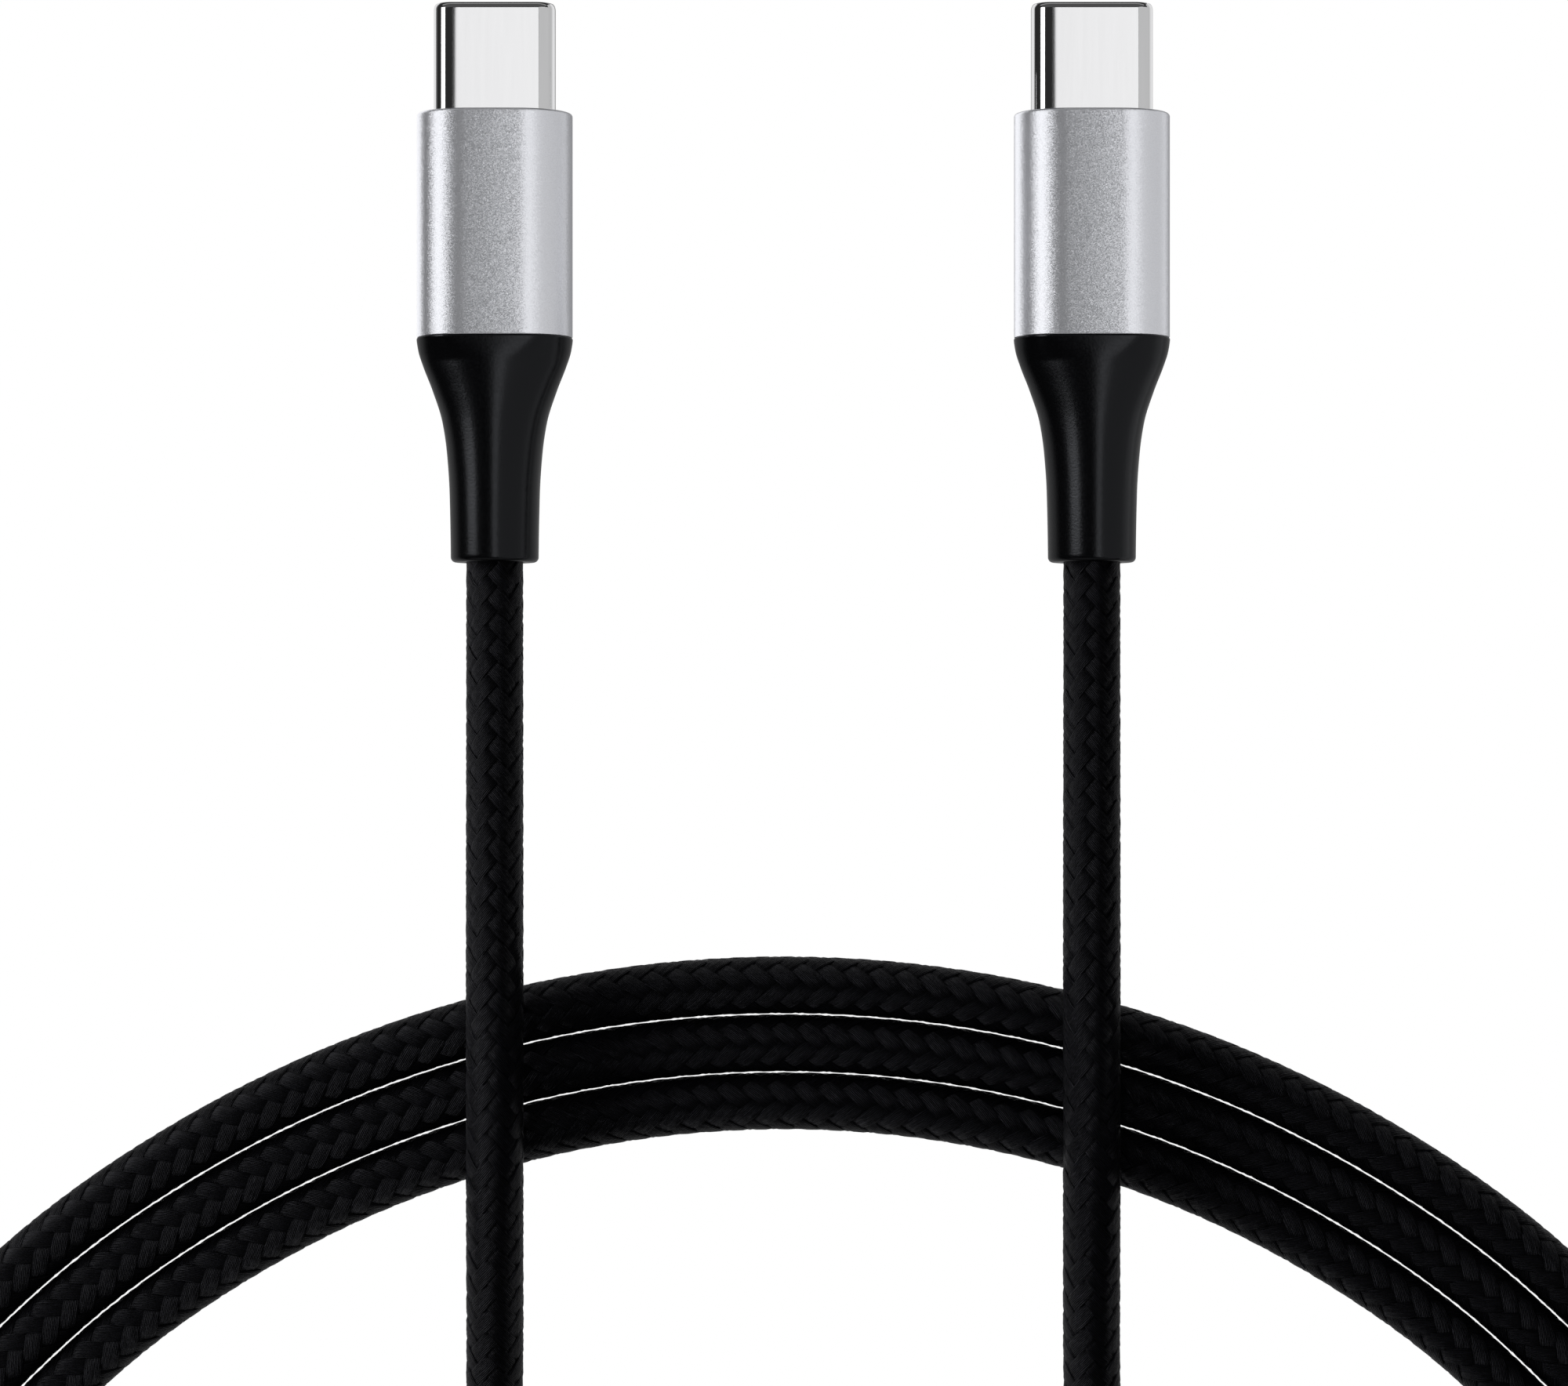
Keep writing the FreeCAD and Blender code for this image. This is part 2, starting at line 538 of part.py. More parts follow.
def make_inner_mould(side):
    """Hard plastic moulded round the shell's back end, the shield can and the crimp ring."""
    body = new_body(side, "inner_mould")
    nose = sketch_on(body, "XY_Plane", "mould_back", f"{side}_nose_outline")
    draw_circle(nose, "0.5*nose_dia - fit_gap")
    pad(body, nose, "-mould_back", f"{side}_nose")
    outline = sketch_on(body, "XY_Plane", "0", f"{side}_mould_outline")
    draw_stadium(outline, "sleeve_width - 2*sleeve_wall - 2*fit_gap",
                 "sleeve_height - 2*sleeve_wall - 2*fit_gap")
    pad(body, outline, "mould_front", f"{side}_mould_block")
    can = sketch_on(body, "XY_Plane", "can_back - fit_gap", f"{side}_can_room_outline")
    draw_stadium(can, "can_width + 2*fit_gap", "can_height + 2*fit_gap")
    cut(body, can, "can_front - can_back + 2*fit_gap", f"{side}_can_room")
    shell = sketch_on(body, "XY_Plane", "can_front", f"{side}_shell_hole_outline")
    draw_stadium(shell, "shell_width + 2*fit_gap", "shell_height + 2*fit_gap")
    cut(body, shell, "mould_front - can_front", f"{side}_shell_hole")
    crimp = sketch_on(body, "XY_Plane", "mould_back", f"{side}_crimp_room_outline")
    draw_circle(crimp, "0.5*crimp_dia + fit_gap")
    cut(body, crimp, "crimp_room_front - mould_back", f"{side}_crimp_room")
    wires = sketch_on(body, "XY_Plane", "wire_hole_back", f"{side}_wire_hole_outline")
    draw_circle(wires, "0.5*wire_hole")
    cut(body, wires, "can_back - wire_hole_back", f"{side}_wire_hole")
    return body


def make_crimp_ring(side):
    """Ring pressed onto the cord's jacket to take the pull."""
    body = new_body(side, "crimp_ring")
    outline = sketch_on(body, "XY_Plane", "crimp_back", f"{side}_crimp_outline")
    draw_circle(outline, "0.5*crimp_dia")
    pad(body, outline, "crimp_front - crimp_back", f"{side}_crimp_block")
    bore = sketch_on(body, "XY_Plane", "crimp_back", f"{side}_crimp_bore_outline")
    draw_circle(bore, "0.5*cord_dia + fit_gap")
    cut(body, bore, "crimp_front - crimp_back", f"{side}_crimp_bore")
    return body


def make_sleeve(side):
    """Blasted and anodised aluminium sleeve, the part that fingers hold."""
    body = new_body(side, "aluminium_sleeve")
    outline = sketch_on(body, "XY_Plane", "0", f"{side}_sleeve_outline")
    draw_stadium(outline, "sleeve_width", "sleeve_height")
    pad(body, outline, "sleeve_front", f"{side}_sleeve_block")
    hollow = sketch_on(body, "XY_Plane", "0", f"{side}_sleeve_hollow_outline")
    draw_stadium(hollow, "sleeve_width - 2*sleeve_wall", "sleeve_height - 2*sleeve_wall")
    tube = cut(body, hollow, "sleeve_front", f"{side}_sleeve_hollow")
    front = outline_edges(tube, size("sleeve_front"), size("sleeve_height"))
    tube = round_edges(body, tube, front, "sleeve_edge", f"{side}_sleeve_front_edge")
    back = outline_edges(tube, 0.0, size("sleeve_height"))
    round_edges(body, tube, back, "sleeve_back_edge", f"{side}_sleeve_back_edge")
    return body


def make_boot(side):
    """Soft strain-relief boot: full width at the sleeve, flaring in to a round tail."""
    body = new_body(side, "boot")
    stations = [(f"-{place}", half) for place, half in BOOT_STATIONS]
    stations.append(("-boot_length", "boot_half_tail"))
    sections = []
    for index, (place, half) in enumerate(stations):
        section = sketch_on(body, "XY_Plane", place, f"{side}_boot_section_{index}")
        draw_rounded_rectangle(section, half, "0.5*boot_height", "boot_corner")
        sections.append(section)
    DOC.recompute()
    loft = body.newObject("PartDesign::AdditiveLoft", f"{side}_boot_flare")
    loft.Profile = sections[0]
    loft.Sections = sections[1:]
    DOC.recompute()
    nose = sketch_on(body, "XY_Plane", "mould_back - overrun", f"{side}_boot_nose_outline")
    draw_circle(nose, "0.5*nose_dia")
    cut(body, nose, "overrun - mould_back", f"{side}_boot_nose_room")
    bore = sketch_on(body, "XY_Plane", "-boot_length", f"{side}_boot_bore_outline")
    draw_circle(bore, "0.5*cord_dia + boot_bore_gap")
    cut(body, bore, "boot_length", f"{side}_boot_bore")
    return body


def make_jacket_end(side):
    """End of the cord inside the plug, from the bending point to the stripped wires."""
    body = new_body(side, "jacket_end")
    outline = sketch_on(body, "XY_Plane", "-bend_point + bend_room", f"{side}_jacket_outline")
    draw_circle(outline, "0.5*cord_dia")
    pad(body, outline, "jacket_front + bend_point - bend_room", f"{side}_jacket_block")
    return body


def make_wires(side, name, places, diameter, height):
    """Straight insulated wires from the jacket to the card."""
    body = new_body(side, name)
    for index, place in enumerate(places):
        outline = sketch_on(body, "XY_Plane", "jacket_front", f"{side}_{name}_outline_{index}")
        draw_circle(outline, f"0.5*{diameter}", place, height)
        pad(body, outline, "wire_front - jacket_front", f"{side}_{name}_{index}")
    return body


def make_plug(side):
    """All pieces of one plug, from the shell back to the wires."""
    above = "0.5*card_thick + 0.5*power_wire_dia"
    below = "-0.5*card_thick - 0.5*data_wire_dia"
    return [
        make_plug_shell(side), make_tongue_housing(side),
        make_contacts(side, "upper"), make_contacts(side, "lower"),
        make_side_latches(side), make_ground_springs(side),
        make_circuit_card(side), make_identity_chip(side), make_card_passives(side),
        make_shield_can(side, "upper"), make_shield_can(side, "lower"),
        make_inner_mould(side), make_crimp_ring(side), make_sleeve(side), make_boot(side),
        make_jacket_end(side),
        make_wires(side, "supply_wire", ["-power_wire_offset"], "power_wire_dia", above),
        make_wires(side, "return_wire", ["power_wire_offset"], "power_wire_dia", above),
        make_wires(side, "data_wires", ["-data_wire_offset", "0"], "data_wire_dia", below),
        make_wires(side, "sense_wire", ["data_wire_offset"], "data_wire_dia", below),
    ]


# ---------------------------------------------------------------- the cord

def cord_wire(label, corners):
    """Straight runs joined by tangent arcs; prints each arc's radius."""
    points = [Vector(*corner) for corner in corners]
    edges, radii, here = [], [], points[0]
    for before, corner, after in zip(points, points[1:], points[2:]):
        back, ahead = (before - corner).normalize(), (after - corner).normalize()
        shorter = min((before - corner).Length, (after - corner).Length)
        take = RUN_SHARE * shorter
        half_turn = (math.pi - back.getAngle(ahead)) / 2
        radius = take / math.tan(half_turn)
        start, end = corner + back * take, corner + ahead * take
        towards = (back + ahead).normalize()
        middle = corner + towards * (radius / math.cos(half_turn) - radius)
        edges.append(Part.LineSegment(here, start).toShape())
        edges.append(Part.Arc(start, middle, end).toShape())
        radii.append(round(radius, 1))
        here = end
    edges.append(Part.LineSegment(here, points[-1]).toShape())
    print(f"{label}: arc radii {radii} mm")
    return Part.Wire(edges)


def make_lead(label, corners):
    """Round tube of the cord along a free stretch."""
    radius = size("0.5*cord_dia")
    path = cord_wire(label, corners)
    heading = Vector(*corners[1]) - Vector(*corners[0])
    section = Part.Wire(Part.Circle(Vector(*corners[0]), heading, radius).toShape())
    tube = path.makePipeShell([section], True, False)
    expected = math.pi * radius ** 2 * path.Length
    if abs(tube.Volume / expected - 1) > 0.01:
        raise RuntimeError(f"{label}: tube volume is off its section times its length")
    print(f"{label}: {path.Length:.1f} mm long")
    lead = DOC.addObject("Part::Feature", label)
    lead.Label = label
    lead.Shape = tube
    lead.Placement = Placement()
    return lead


def coil_outline(inset):
    """Closed oval of four tangent arcs, moved in from the outermost turn's centre line by inset."""
    upper, lower = (math.radians(size(name)) for name in ("upper_half_sweep", "lower_half_sweep"))
    top_radius, side_radius = size("ring_radius"), size("side_radius")
    ring = Vector(size("ring_x"), size("ring_y"), 0)
    side_centre = Vector(math.sin(upper), math.cos(upper), 0) * (top_radius - side_radius)
    bottom_radius = side_radius + side_centre.x / math.sin(lower)
    drop = side_centre.y + (bottom_radius - side_radius) * math.cos(lower)
    right, left = ring + side_centre, ring + Vector(-side_centre.x, side_centre.y, 0)
    bottom = ring + Vector(0, drop, 0)
    quarter = math.pi / 2
    arcs = [
        (ring, top_radius, quarter - upper, quarter + upper),
        (left, side_radius, quarter + upper, 3 * quarter - lower),
        (bottom, bottom_radius, 3 * quarter - lower, 3 * quarter + lower),
        (right, side_radius, -quarter + lower, quarter - upper),
    ]
    axis = Vector(0, 0, 1)
    return Part.Wire([Part.ArcOfCircle(Part.Circle(centre, axis, radius - inset), start, end).toShape()
                      for centre, radius, start, end in arcs])


def make_coil():
    """One closed solid of the coil's outer shape: turns side by side, with rounded edges."""
    half = size("0.5*cord_dia")
    outer = coil_outline(-half)
    inner = coil_outline((size("turn_count") - 1) * size("turn_pitch") + half)
    ring = Part.Face(outer).cut(Part.Face(inner)).extrude(Vector(0, 0, 2 * half))
    ring = ring.Solids[0]
    rims = [edge for edge in ring.Edges if edge.BoundBox.ZLength < 1e-6]
    coil = DOC.addObject("Part::Feature", "coil")
    coil.Label = "coil"
    coil.Shape = ring.makeFillet(0.85 * half, rims)
    coil.Placement = Placement()
    return coil


# ---------------------------------------------------------------- build, test, write

def check_everything(pieces):
    """Stop if a feature failed or a piece has no sound shape."""
    DOC.recompute()
    for item in DOC.Objects:
        if {"Invalid", "Error"} & set(item.State):
            raise RuntimeError(f"{item.Label} failed: {item.State}")
    for piece in pieces:
        shape = piece.Shape
        if shape.isNull() or not shape.isValid() or not shape.Solids:
            raise RuntimeError(f"{piece.Label} has no valid solid")


def write_steps(pieces):
    """Write each piece to parts/LABEL.step."""
    os.makedirs("parts", exist_ok=True)
    for piece in pieces:
        piece.Shape.exportStep(f"parts/{piece.Label}.step")
    print(f"{len(pieces)} pieces written")


def main():
    fill_sheet()
    pieces = make_plug("left") + make_plug("right")
    pieces += [make_lead("lead_left", LEFT_ROUTE), make_coil(), make_lead("lead_right", RIGHT_ROUTE)]
    check_everything(pieces)
    write_steps(pieces)


main()
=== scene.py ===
import json
import math

import bpy
import numpy as np
from mathutils import Matrix, Vector


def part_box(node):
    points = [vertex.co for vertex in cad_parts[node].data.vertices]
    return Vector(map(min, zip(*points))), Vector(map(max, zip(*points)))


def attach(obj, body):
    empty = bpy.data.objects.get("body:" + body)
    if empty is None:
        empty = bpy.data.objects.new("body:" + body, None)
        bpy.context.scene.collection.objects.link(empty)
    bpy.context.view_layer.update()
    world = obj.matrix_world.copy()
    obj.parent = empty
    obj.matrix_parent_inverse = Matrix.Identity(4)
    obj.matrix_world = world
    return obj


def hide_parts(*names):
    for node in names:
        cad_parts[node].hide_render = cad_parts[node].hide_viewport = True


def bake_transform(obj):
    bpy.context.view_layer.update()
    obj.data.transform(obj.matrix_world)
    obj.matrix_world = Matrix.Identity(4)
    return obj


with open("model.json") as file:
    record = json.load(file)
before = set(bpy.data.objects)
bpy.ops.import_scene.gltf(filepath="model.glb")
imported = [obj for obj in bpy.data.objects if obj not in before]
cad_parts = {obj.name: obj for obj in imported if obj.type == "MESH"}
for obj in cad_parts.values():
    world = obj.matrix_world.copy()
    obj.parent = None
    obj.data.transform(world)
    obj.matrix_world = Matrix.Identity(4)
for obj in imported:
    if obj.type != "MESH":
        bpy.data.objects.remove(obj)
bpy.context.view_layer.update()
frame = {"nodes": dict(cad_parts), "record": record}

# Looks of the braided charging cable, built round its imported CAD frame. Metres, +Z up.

MM = 0.001
FULL_TURN = 2 * math.pi
SIDES = ("left", "right")

# ------------------------------------------------------------------ camera

VIEW_CENTRE_X = -0.63 * MM      # where the lens points, on the plane of the plugs' axes
VIEW_CENTRE_Y = -27.70 * MM
VIEW_HALF_WIDTH = 53.05 * MM    # half of what the frame takes in, on that plane
VIEW_DISTANCE = 250.0 * MM      # from the lens to that plane
SENSOR_WIDTH = 36.0
CLIP_RANGE = (0.01, 10.0)

# Height of both plugs' axes above the table.
AXIS_HEIGHT = 0.5 * (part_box("left_plug_shell")[0][2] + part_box("left_plug_shell")[1][2])


def make_camera():
    """Camera straight above the plugs and the top of the coil, looking down."""
    data = bpy.data.cameras.new("camera")
    data.sensor_width = SENSOR_WIDTH
    data.lens = SENSOR_WIDTH * VIEW_DISTANCE / (2 * VIEW_HALF_WIDTH)
    data.clip_start, data.clip_end = CLIP_RANGE
    camera = bpy.data.objects.new("camera", data)
    camera.location = (VIEW_CENTRE_X, VIEW_CENTRE_Y, AXIS_HEIGHT + VIEW_DISTANCE)
    bpy.context.scene.collection.objects.link(camera)
    bpy.context.scene.camera = camera


make_camera()

# ------------------------------------------------------------------ the cord's route

CORD_DIAMETER = 3.9 * MM

# The route's own numbers are in millimetres.
EXIT_X = 20.2                   # where the cord leaves the boots, either side of the middle
EXIT_Y = -13.875
LYING = 1.95                    # heights of the cord's centre: on the table,
LEAVING = 3.0                   # on a plug's axis,
CROSSING = 6.3                  # and over the turns of the coil

# Corners of the route: out of each boot, over the coil and inside it.
LEFT_ROUTE = [
    (-EXIT_X, EXIT_Y, LEAVING), (-EXIT_X, -25.0, LEAVING), (-19.95, -43.3, CROSSING),
    (-19.95, -62.0, CROSSING), (-20.25, -77.0, LYING), (-20.9, -91.5, LYING),
    (-16.0, -108.5, LYING), (-5.0, -122.5, LYING), (8.0, -130.7, LYING), (23.0, -133.2, LYING),
]
RIGHT_ROUTE = [
    (-43.5, -136.6, LYING), (-28.0, -140.6, 4.2), (-11.0, -141.5, 6.4), (6.5, -131.5, 6.4),
    (19.0, -115.0, 2.3), (21.0, -96.0, LYING), (20.25, -77.0, LYING), (19.92, -62.0, CROSSING),
    (19.92, -43.3, CROSSING), (EXIT_X, -25.0, LEAVING), (EXIT_X, EXIT_Y, LEAVING),
]
ROUTE_ORDER = 3                 # of the smooth line through the corners
ROUTE_FINENESS = 32             # its points per corner
SAME_PLACE = 1e-7               # metres between points that count as one

# The coil: an oval of four arcs round a common upper centre. A heading is the cord's direction: 0
# along +X at the bottom, and a full turn more with each turn of the coil.
RING_CENTRE = (-0.63, -127.1)
RING_RADIUS = 79.57             # outermost turn, upper arc
SIDE_RADIUS = 40.0              # outermost turn, side arcs
TURN_PITCH = 3.94
OUTERMOST_TURN = 2              # turns are numbered from 0, the innermost
UPPER_HALF_SWEEP = math.radians(44.0)
LOWER_HALF_SWEEP = math.radians(15.0)
COIL_START = math.radians(24.0)     # heading where the left lead joins the innermost turn
COIL_END = math.radians(360.0 * OUTERMOST_TURN + 324.0)     # where the right lead leaves the coil
COIL_POINTS = 86
CHANGE_START = math.radians(-15.0)  # heading at the bottom where a turn starts to move outwards,
CHANGE_SWEEP = math.radians(20.0)   # and how much further on it has moved by a whole pitch


def coil_point(heading, step):
    """Corner of the route on the coil at a heading, with a step in heading between corners."""
    turn = sum(min(1.0, max(0.0, (heading - FULL_TURN * lap - CHANGE_START) / CHANGE_SWEEP))
               for lap in range(1, OUTERMOST_TURN + 1))
    side_centre = (np.array([math.sin(UPPER_HALF_SWEEP), math.cos(UPPER_HALF_SWEEP)])
                   * (RING_RADIUS - SIDE_RADIUS))
    bottom_radius = SIDE_RADIUS + side_centre[0] / math.sin(LOWER_HALF_SWEEP)
    bottom_centre = np.array([0.0, side_centre[1]
                              + (bottom_radius - SIDE_RADIUS) * math.cos(LOWER_HALF_SWEEP)])
    around = heading % FULL_TURN
    if abs(around - math.pi) <= UPPER_HALF_SWEEP:
        centre, radius = np.zeros(2), RING_RADIUS
    elif around <= LOWER_HALF_SWEEP or around >= FULL_TURN - LOWER_HALF_SWEEP:
        centre, radius = bottom_centre, bottom_radius
    else:
        mirror = np.array([1.0 if around < math.pi else -1.0, 1.0])
        centre, radius = side_centre * mirror, SIDE_RADIUS
    radius -= (OUTERMOST_TURN - turn) * TURN_PITCH
    outwards = np.array([math.sin(heading), -math.cos(heading)])
    corner_lift = radius * step ** 2 / 8        # a corner lies outside the curve that it makes
    x, y = np.array(RING_CENTRE) + centre + outwards * (radius + corner_lift)
    return x, y, LYING


def route_corners():
    """All corners of the cord's route, from the left boot through the coil to the right boot."""
    step = (COIL_END - COIL_START) / (COIL_POINTS - 1)
    coil = [coil_point(COIL_START + step * number, step) for number in range(COIL_POINTS)]
    return [tuple(MM * value for value in corner) for corner in LEFT_ROUTE + coil + RIGHT_ROUTE]


def route_line(corners):
    """Points of the smooth NURBS line whose control points are the route's corners."""
    curve = bpy.data.curves.new("route", "CURVE")
    curve.dimensions = "3D"
    curve.resolution_u = ROUTE_FINENESS
    spline = curve.splines.new("NURBS")
    spline.points.add(len(corners) - 1)
    for point, corner in zip(spline.points, corners):
        point.co = (*corner, 1.0)
    spline.order_u = ROUTE_ORDER
    spline.use_endpoint_u = True
    holder = bpy.data.objects.new("route", curve)
    mesh = bpy.data.meshes.new_from_object(holder)
    line = np.array([vertex.co for vertex in mesh.vertices], float)
    bpy.data.objects.remove(holder)
    bpy.data.curves.remove(curve)
    bpy.data.meshes.remove(mesh)
    return line


class Route:
    """The cord's centre line with a level frame: up, and side to the right of the heading."""

    def __init__(self, line):
        keep = np.r_[True, np.linalg.norm(np.diff(line, axis=0), axis=1) > SAME_PLACE]
        self.line = line[keep]
        self.at = np.r_[0.0, np.cumsum(np.linalg.norm(np.diff(self.line, axis=0), axis=1))]
        self.length = float(self.at[-1])
        heading = np.gradient(self.line, self.at, axis=0)
        self.heading = heading / np.linalg.norm(heading, axis=1)[:, None]

    def sample(self, distance):
        """Position, up and side at distances along the line, in arrays of the same shape."""
        flat = np.clip(distance, 0.0, self.length)
        place = np.stack([np.interp(flat, self.at, self.line[:, k]) for k in range(3)], axis=-1)
        ahead = np.stack([np.interp(flat, self.at, self.heading[:, k]) for k in range(3)], axis=-1)
        ahead /= np.linalg.norm(ahead, axis=-1)[..., None]
        side = np.cross(ahead, np.array([0.0, 0.0, 1.0]))
        side /= np.linalg.norm(side, axis=-1)[..., None]
        return place, np.cross(side, ahead), side


route = Route(route_line(route_corners()))

# ------------------------------------------------------------------ mesh helpers


def make_mesh(name, points, faces, uv=None):
    """Object with a smooth-shaded mesh of quads; uv holds one pair per corner, face by face."""
    mesh = bpy.data.meshes.new(name)
    mesh.vertices.add(len(points))
    mesh.vertices.foreach_set("co", points.astype(np.float32).ravel())
    mesh.loops.add(faces.size)
    mesh.loops.foreach_set("vertex_index", faces.astype(np.int32).ravel())
    mesh.polygons.add(len(faces))
    mesh.polygons.foreach_set("loop_start", np.arange(0, faces.size, 4, dtype=np.int32))
    mesh.polygons.foreach_set("use_smooth", np.ones(len(faces), bool))
    if uv is not None:
        mesh.uv_layers.new(name="strand")
        mesh.uv_layers["strand"].data.foreach_set("uv", uv.astype(np.float32).ravel())
    mesh.update(calc_edges=True)
    mesh.validate()
    piece = bpy.data.objects.new(name, mesh)
    bpy.context.scene.collection.objects.link(piece)
    return piece


def tube_faces(rings, round_count):
    """Quads between neighbouring rings, all round."""
    ring = np.arange(rings - 1)[:, None] * round_count
    spot = np.arange(round_count)[None, :]
    after = (spot + 1) % round_count
    return np.stack([ring + spot, ring + after, ring + round_count + after,
                     ring + round_count + spot], axis=-1).reshape(-1, 4)


# ------------------------------------------------------------------ the cord's braid

CARRIERS = 8                        # strands that run each way round
LAY_LENGTH = 13.5 * MM              # along the cord for one turn of a strand
STRAND_WIDTH = 1.24 * MM
STRAND_THICK = 0.31 * MM
STRAND_STEP = 0.40 * MM             # between the rings of a strand's mesh
SECTION_POINTS = 12
SECTION_SQUARENESS = 0.50           # 1 for an oval section, less for a flat ribbon
DIVING_SQUEEZE = 0.06               # part of its width that a strand has lost halfway down
FAMILY_PHASES = {1: 0.5, -1: 2.5}   # crossings by which each family's pattern starts late
STRAND_UV_STEP = 4.0                # keeps the strands' surface patterns apart
CORE_RADIUS = 1.42 * MM
CORE_STEP = 1.2 * MM
CORE_SIDES = 14
FLATNESS = 2.1                      # how level a strand stays while it is on top
LATE_DIVE = 0.25                    # how far past the middle it dives, for a smooth outline
COLUMN_SHIFT = math.radians(56.25)  # middle of a column in which the second family is on top
# Where that column lies round the cord, in degrees from straight up: at the left plug, in the coil
# and at the right plug.
COLUMN_PLACES = (-22.0, -22.0, 14.0)
PLACE_CHANGES = (0.10, 0.20, 0.80, 0.90)   # parts of the length between which the cord twists


def column_turn(distance):
    """How far the whole braid is turned round the cord's line at a distance."""
    left, coil, right = (math.radians(place) for place in COLUMN_PLACES)
    place = np.interp(distance / route.length, PLACE_CHANGES, (left, coil, coil, right))
    return place - COLUMN_SHIFT


def strand_points(direction, number):
    """Points of one strand, which runs over two and under two of the other family.

    Returns them ring by ring, with the count of rings, each point's place across the strand and
    each ring's distance along the cord.
    """
    radius = CORD_DIAMETER / 2
    crossing = LAY_LENGTH / (2 * CARRIERS)
    slant = math.atan2(FULL_TURN * radius, LAY_LENGTH)
    rings = int(route.length / STRAND_STEP)
    distance = np.linspace(0.0, route.length, rings)[:, None]

    # Height: the first family is up where the second is down, two crossings each.
    phase = 2 * number + direction * distance / crossing - FAMILY_PHASES[direction]
    swing = np.cos(0.5 * math.pi * phase)
    lift = np.tanh(FLATNESS * (swing + LATE_DIVE)) / math.tanh(FLATNESS * (1 + LATE_DIVE))
    top = radius - STRAND_THICK / 2
    centre_radius = top - STRAND_THICK * (1 - lift) / 2

    # Section: a flat, crowned bundle.
    angle = np.linspace(0.0, FULL_TURN, SECTION_POINTS, endpoint=False)[None, :]
    across = np.sign(np.cos(angle)) * np.abs(np.cos(angle)) ** SECTION_SQUARENESS
    crown = np.sign(np.sin(angle)) * np.abs(np.sin(angle)) ** SECTION_SQUARENESS
    width = STRAND_WIDTH * (1 - DIVING_SQUEEZE * (1 - lift))
    offset = across * width / 2
    along = distance - direction * offset * math.sin(slant)
    turn = (direction * FULL_TURN * distance / LAY_LENGTH + FULL_TURN * number / CARRIERS
            + offset * math.cos(slant) / radius + column_turn(distance))
    height = centre_radius + crown * STRAND_THICK / 2
    place, up, side = route.sample(along)
    points = place + height[..., None] * (np.cos(turn)[..., None] * up
                                          + np.sin(turn)[..., None] * side)
    return points.reshape(-1, 3), rings, across, distance


def strand_uv(rings, across, distance, number):
    """UV across and along the strand, one pair per face corner, in the order of tube_faces."""
    column = np.arange(SECTION_POINTS)
    after = (column + 1) % SECTION_POINTS
    u = across[0]
    v = distance[:, 0] / MM
    corners = np.empty((rings - 1, SECTION_POINTS, 4, 2))
    corners[..., 0, 0] = corners[..., 3, 0] = u[column]
    corners[..., 1, 0] = corners[..., 2, 0] = u[after]
    corners[..., 0, 1] = corners[..., 1, 1] = v[:-1, None]
    corners[..., 2, 1] = corners[..., 3, 1] = v[1:, None]
    corners[..., 0] += STRAND_UV_STEP * number
    return corners.reshape(-1, 2)


def make_strand(direction, number):
    """One braid strand as a piece of its own."""
    points, rings, across, distance = strand_points(direction, number)
    label = f"braid_{'a' if direction > 0 else 'b'}{number + 1}"
    order = number + (0 if direction > 0 else CARRIERS)
    uv = strand_uv(rings, across, distance, order)
    return make_mesh(label, points, tube_faces(rings, SECTION_POINTS), uv)


def make_core():
    """Jacket under the braid: a plain tube along the whole route."""
    rings = int(route.length / CORE_STEP)
    distance = np.linspace(0.0, route.length, rings)[:, None]
    angle = np.linspace(0.0, FULL_TURN, CORE_SIDES, endpoint=False)[None, :]
    place, up, side = route.sample(np.broadcast_to(distance, (rings, CORE_SIDES)))
    points = place + CORE_RADIUS * (np.cos(angle)[..., None] * up + np.sin(angle)[..., None] * side)
    return make_mesh("cord_core", points.reshape(-1, 3), tube_faces(rings, CORE_SIDES))


core = make_core()
strands = [make_strand(direction, number) for direction in (1, -1) for number in range(CARRIERS)]
for piece in [core] + strands:
    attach(piece, "cord")
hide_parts("lead_left", "coil", "lead_right")

# ------------------------------------------------------------------ materials

NOISE_CORE = (0.35, 0.65)       # limits of most of a noise's values,
NOISE_RANGE = (0.30, 0.70)      # and of nearly all of them


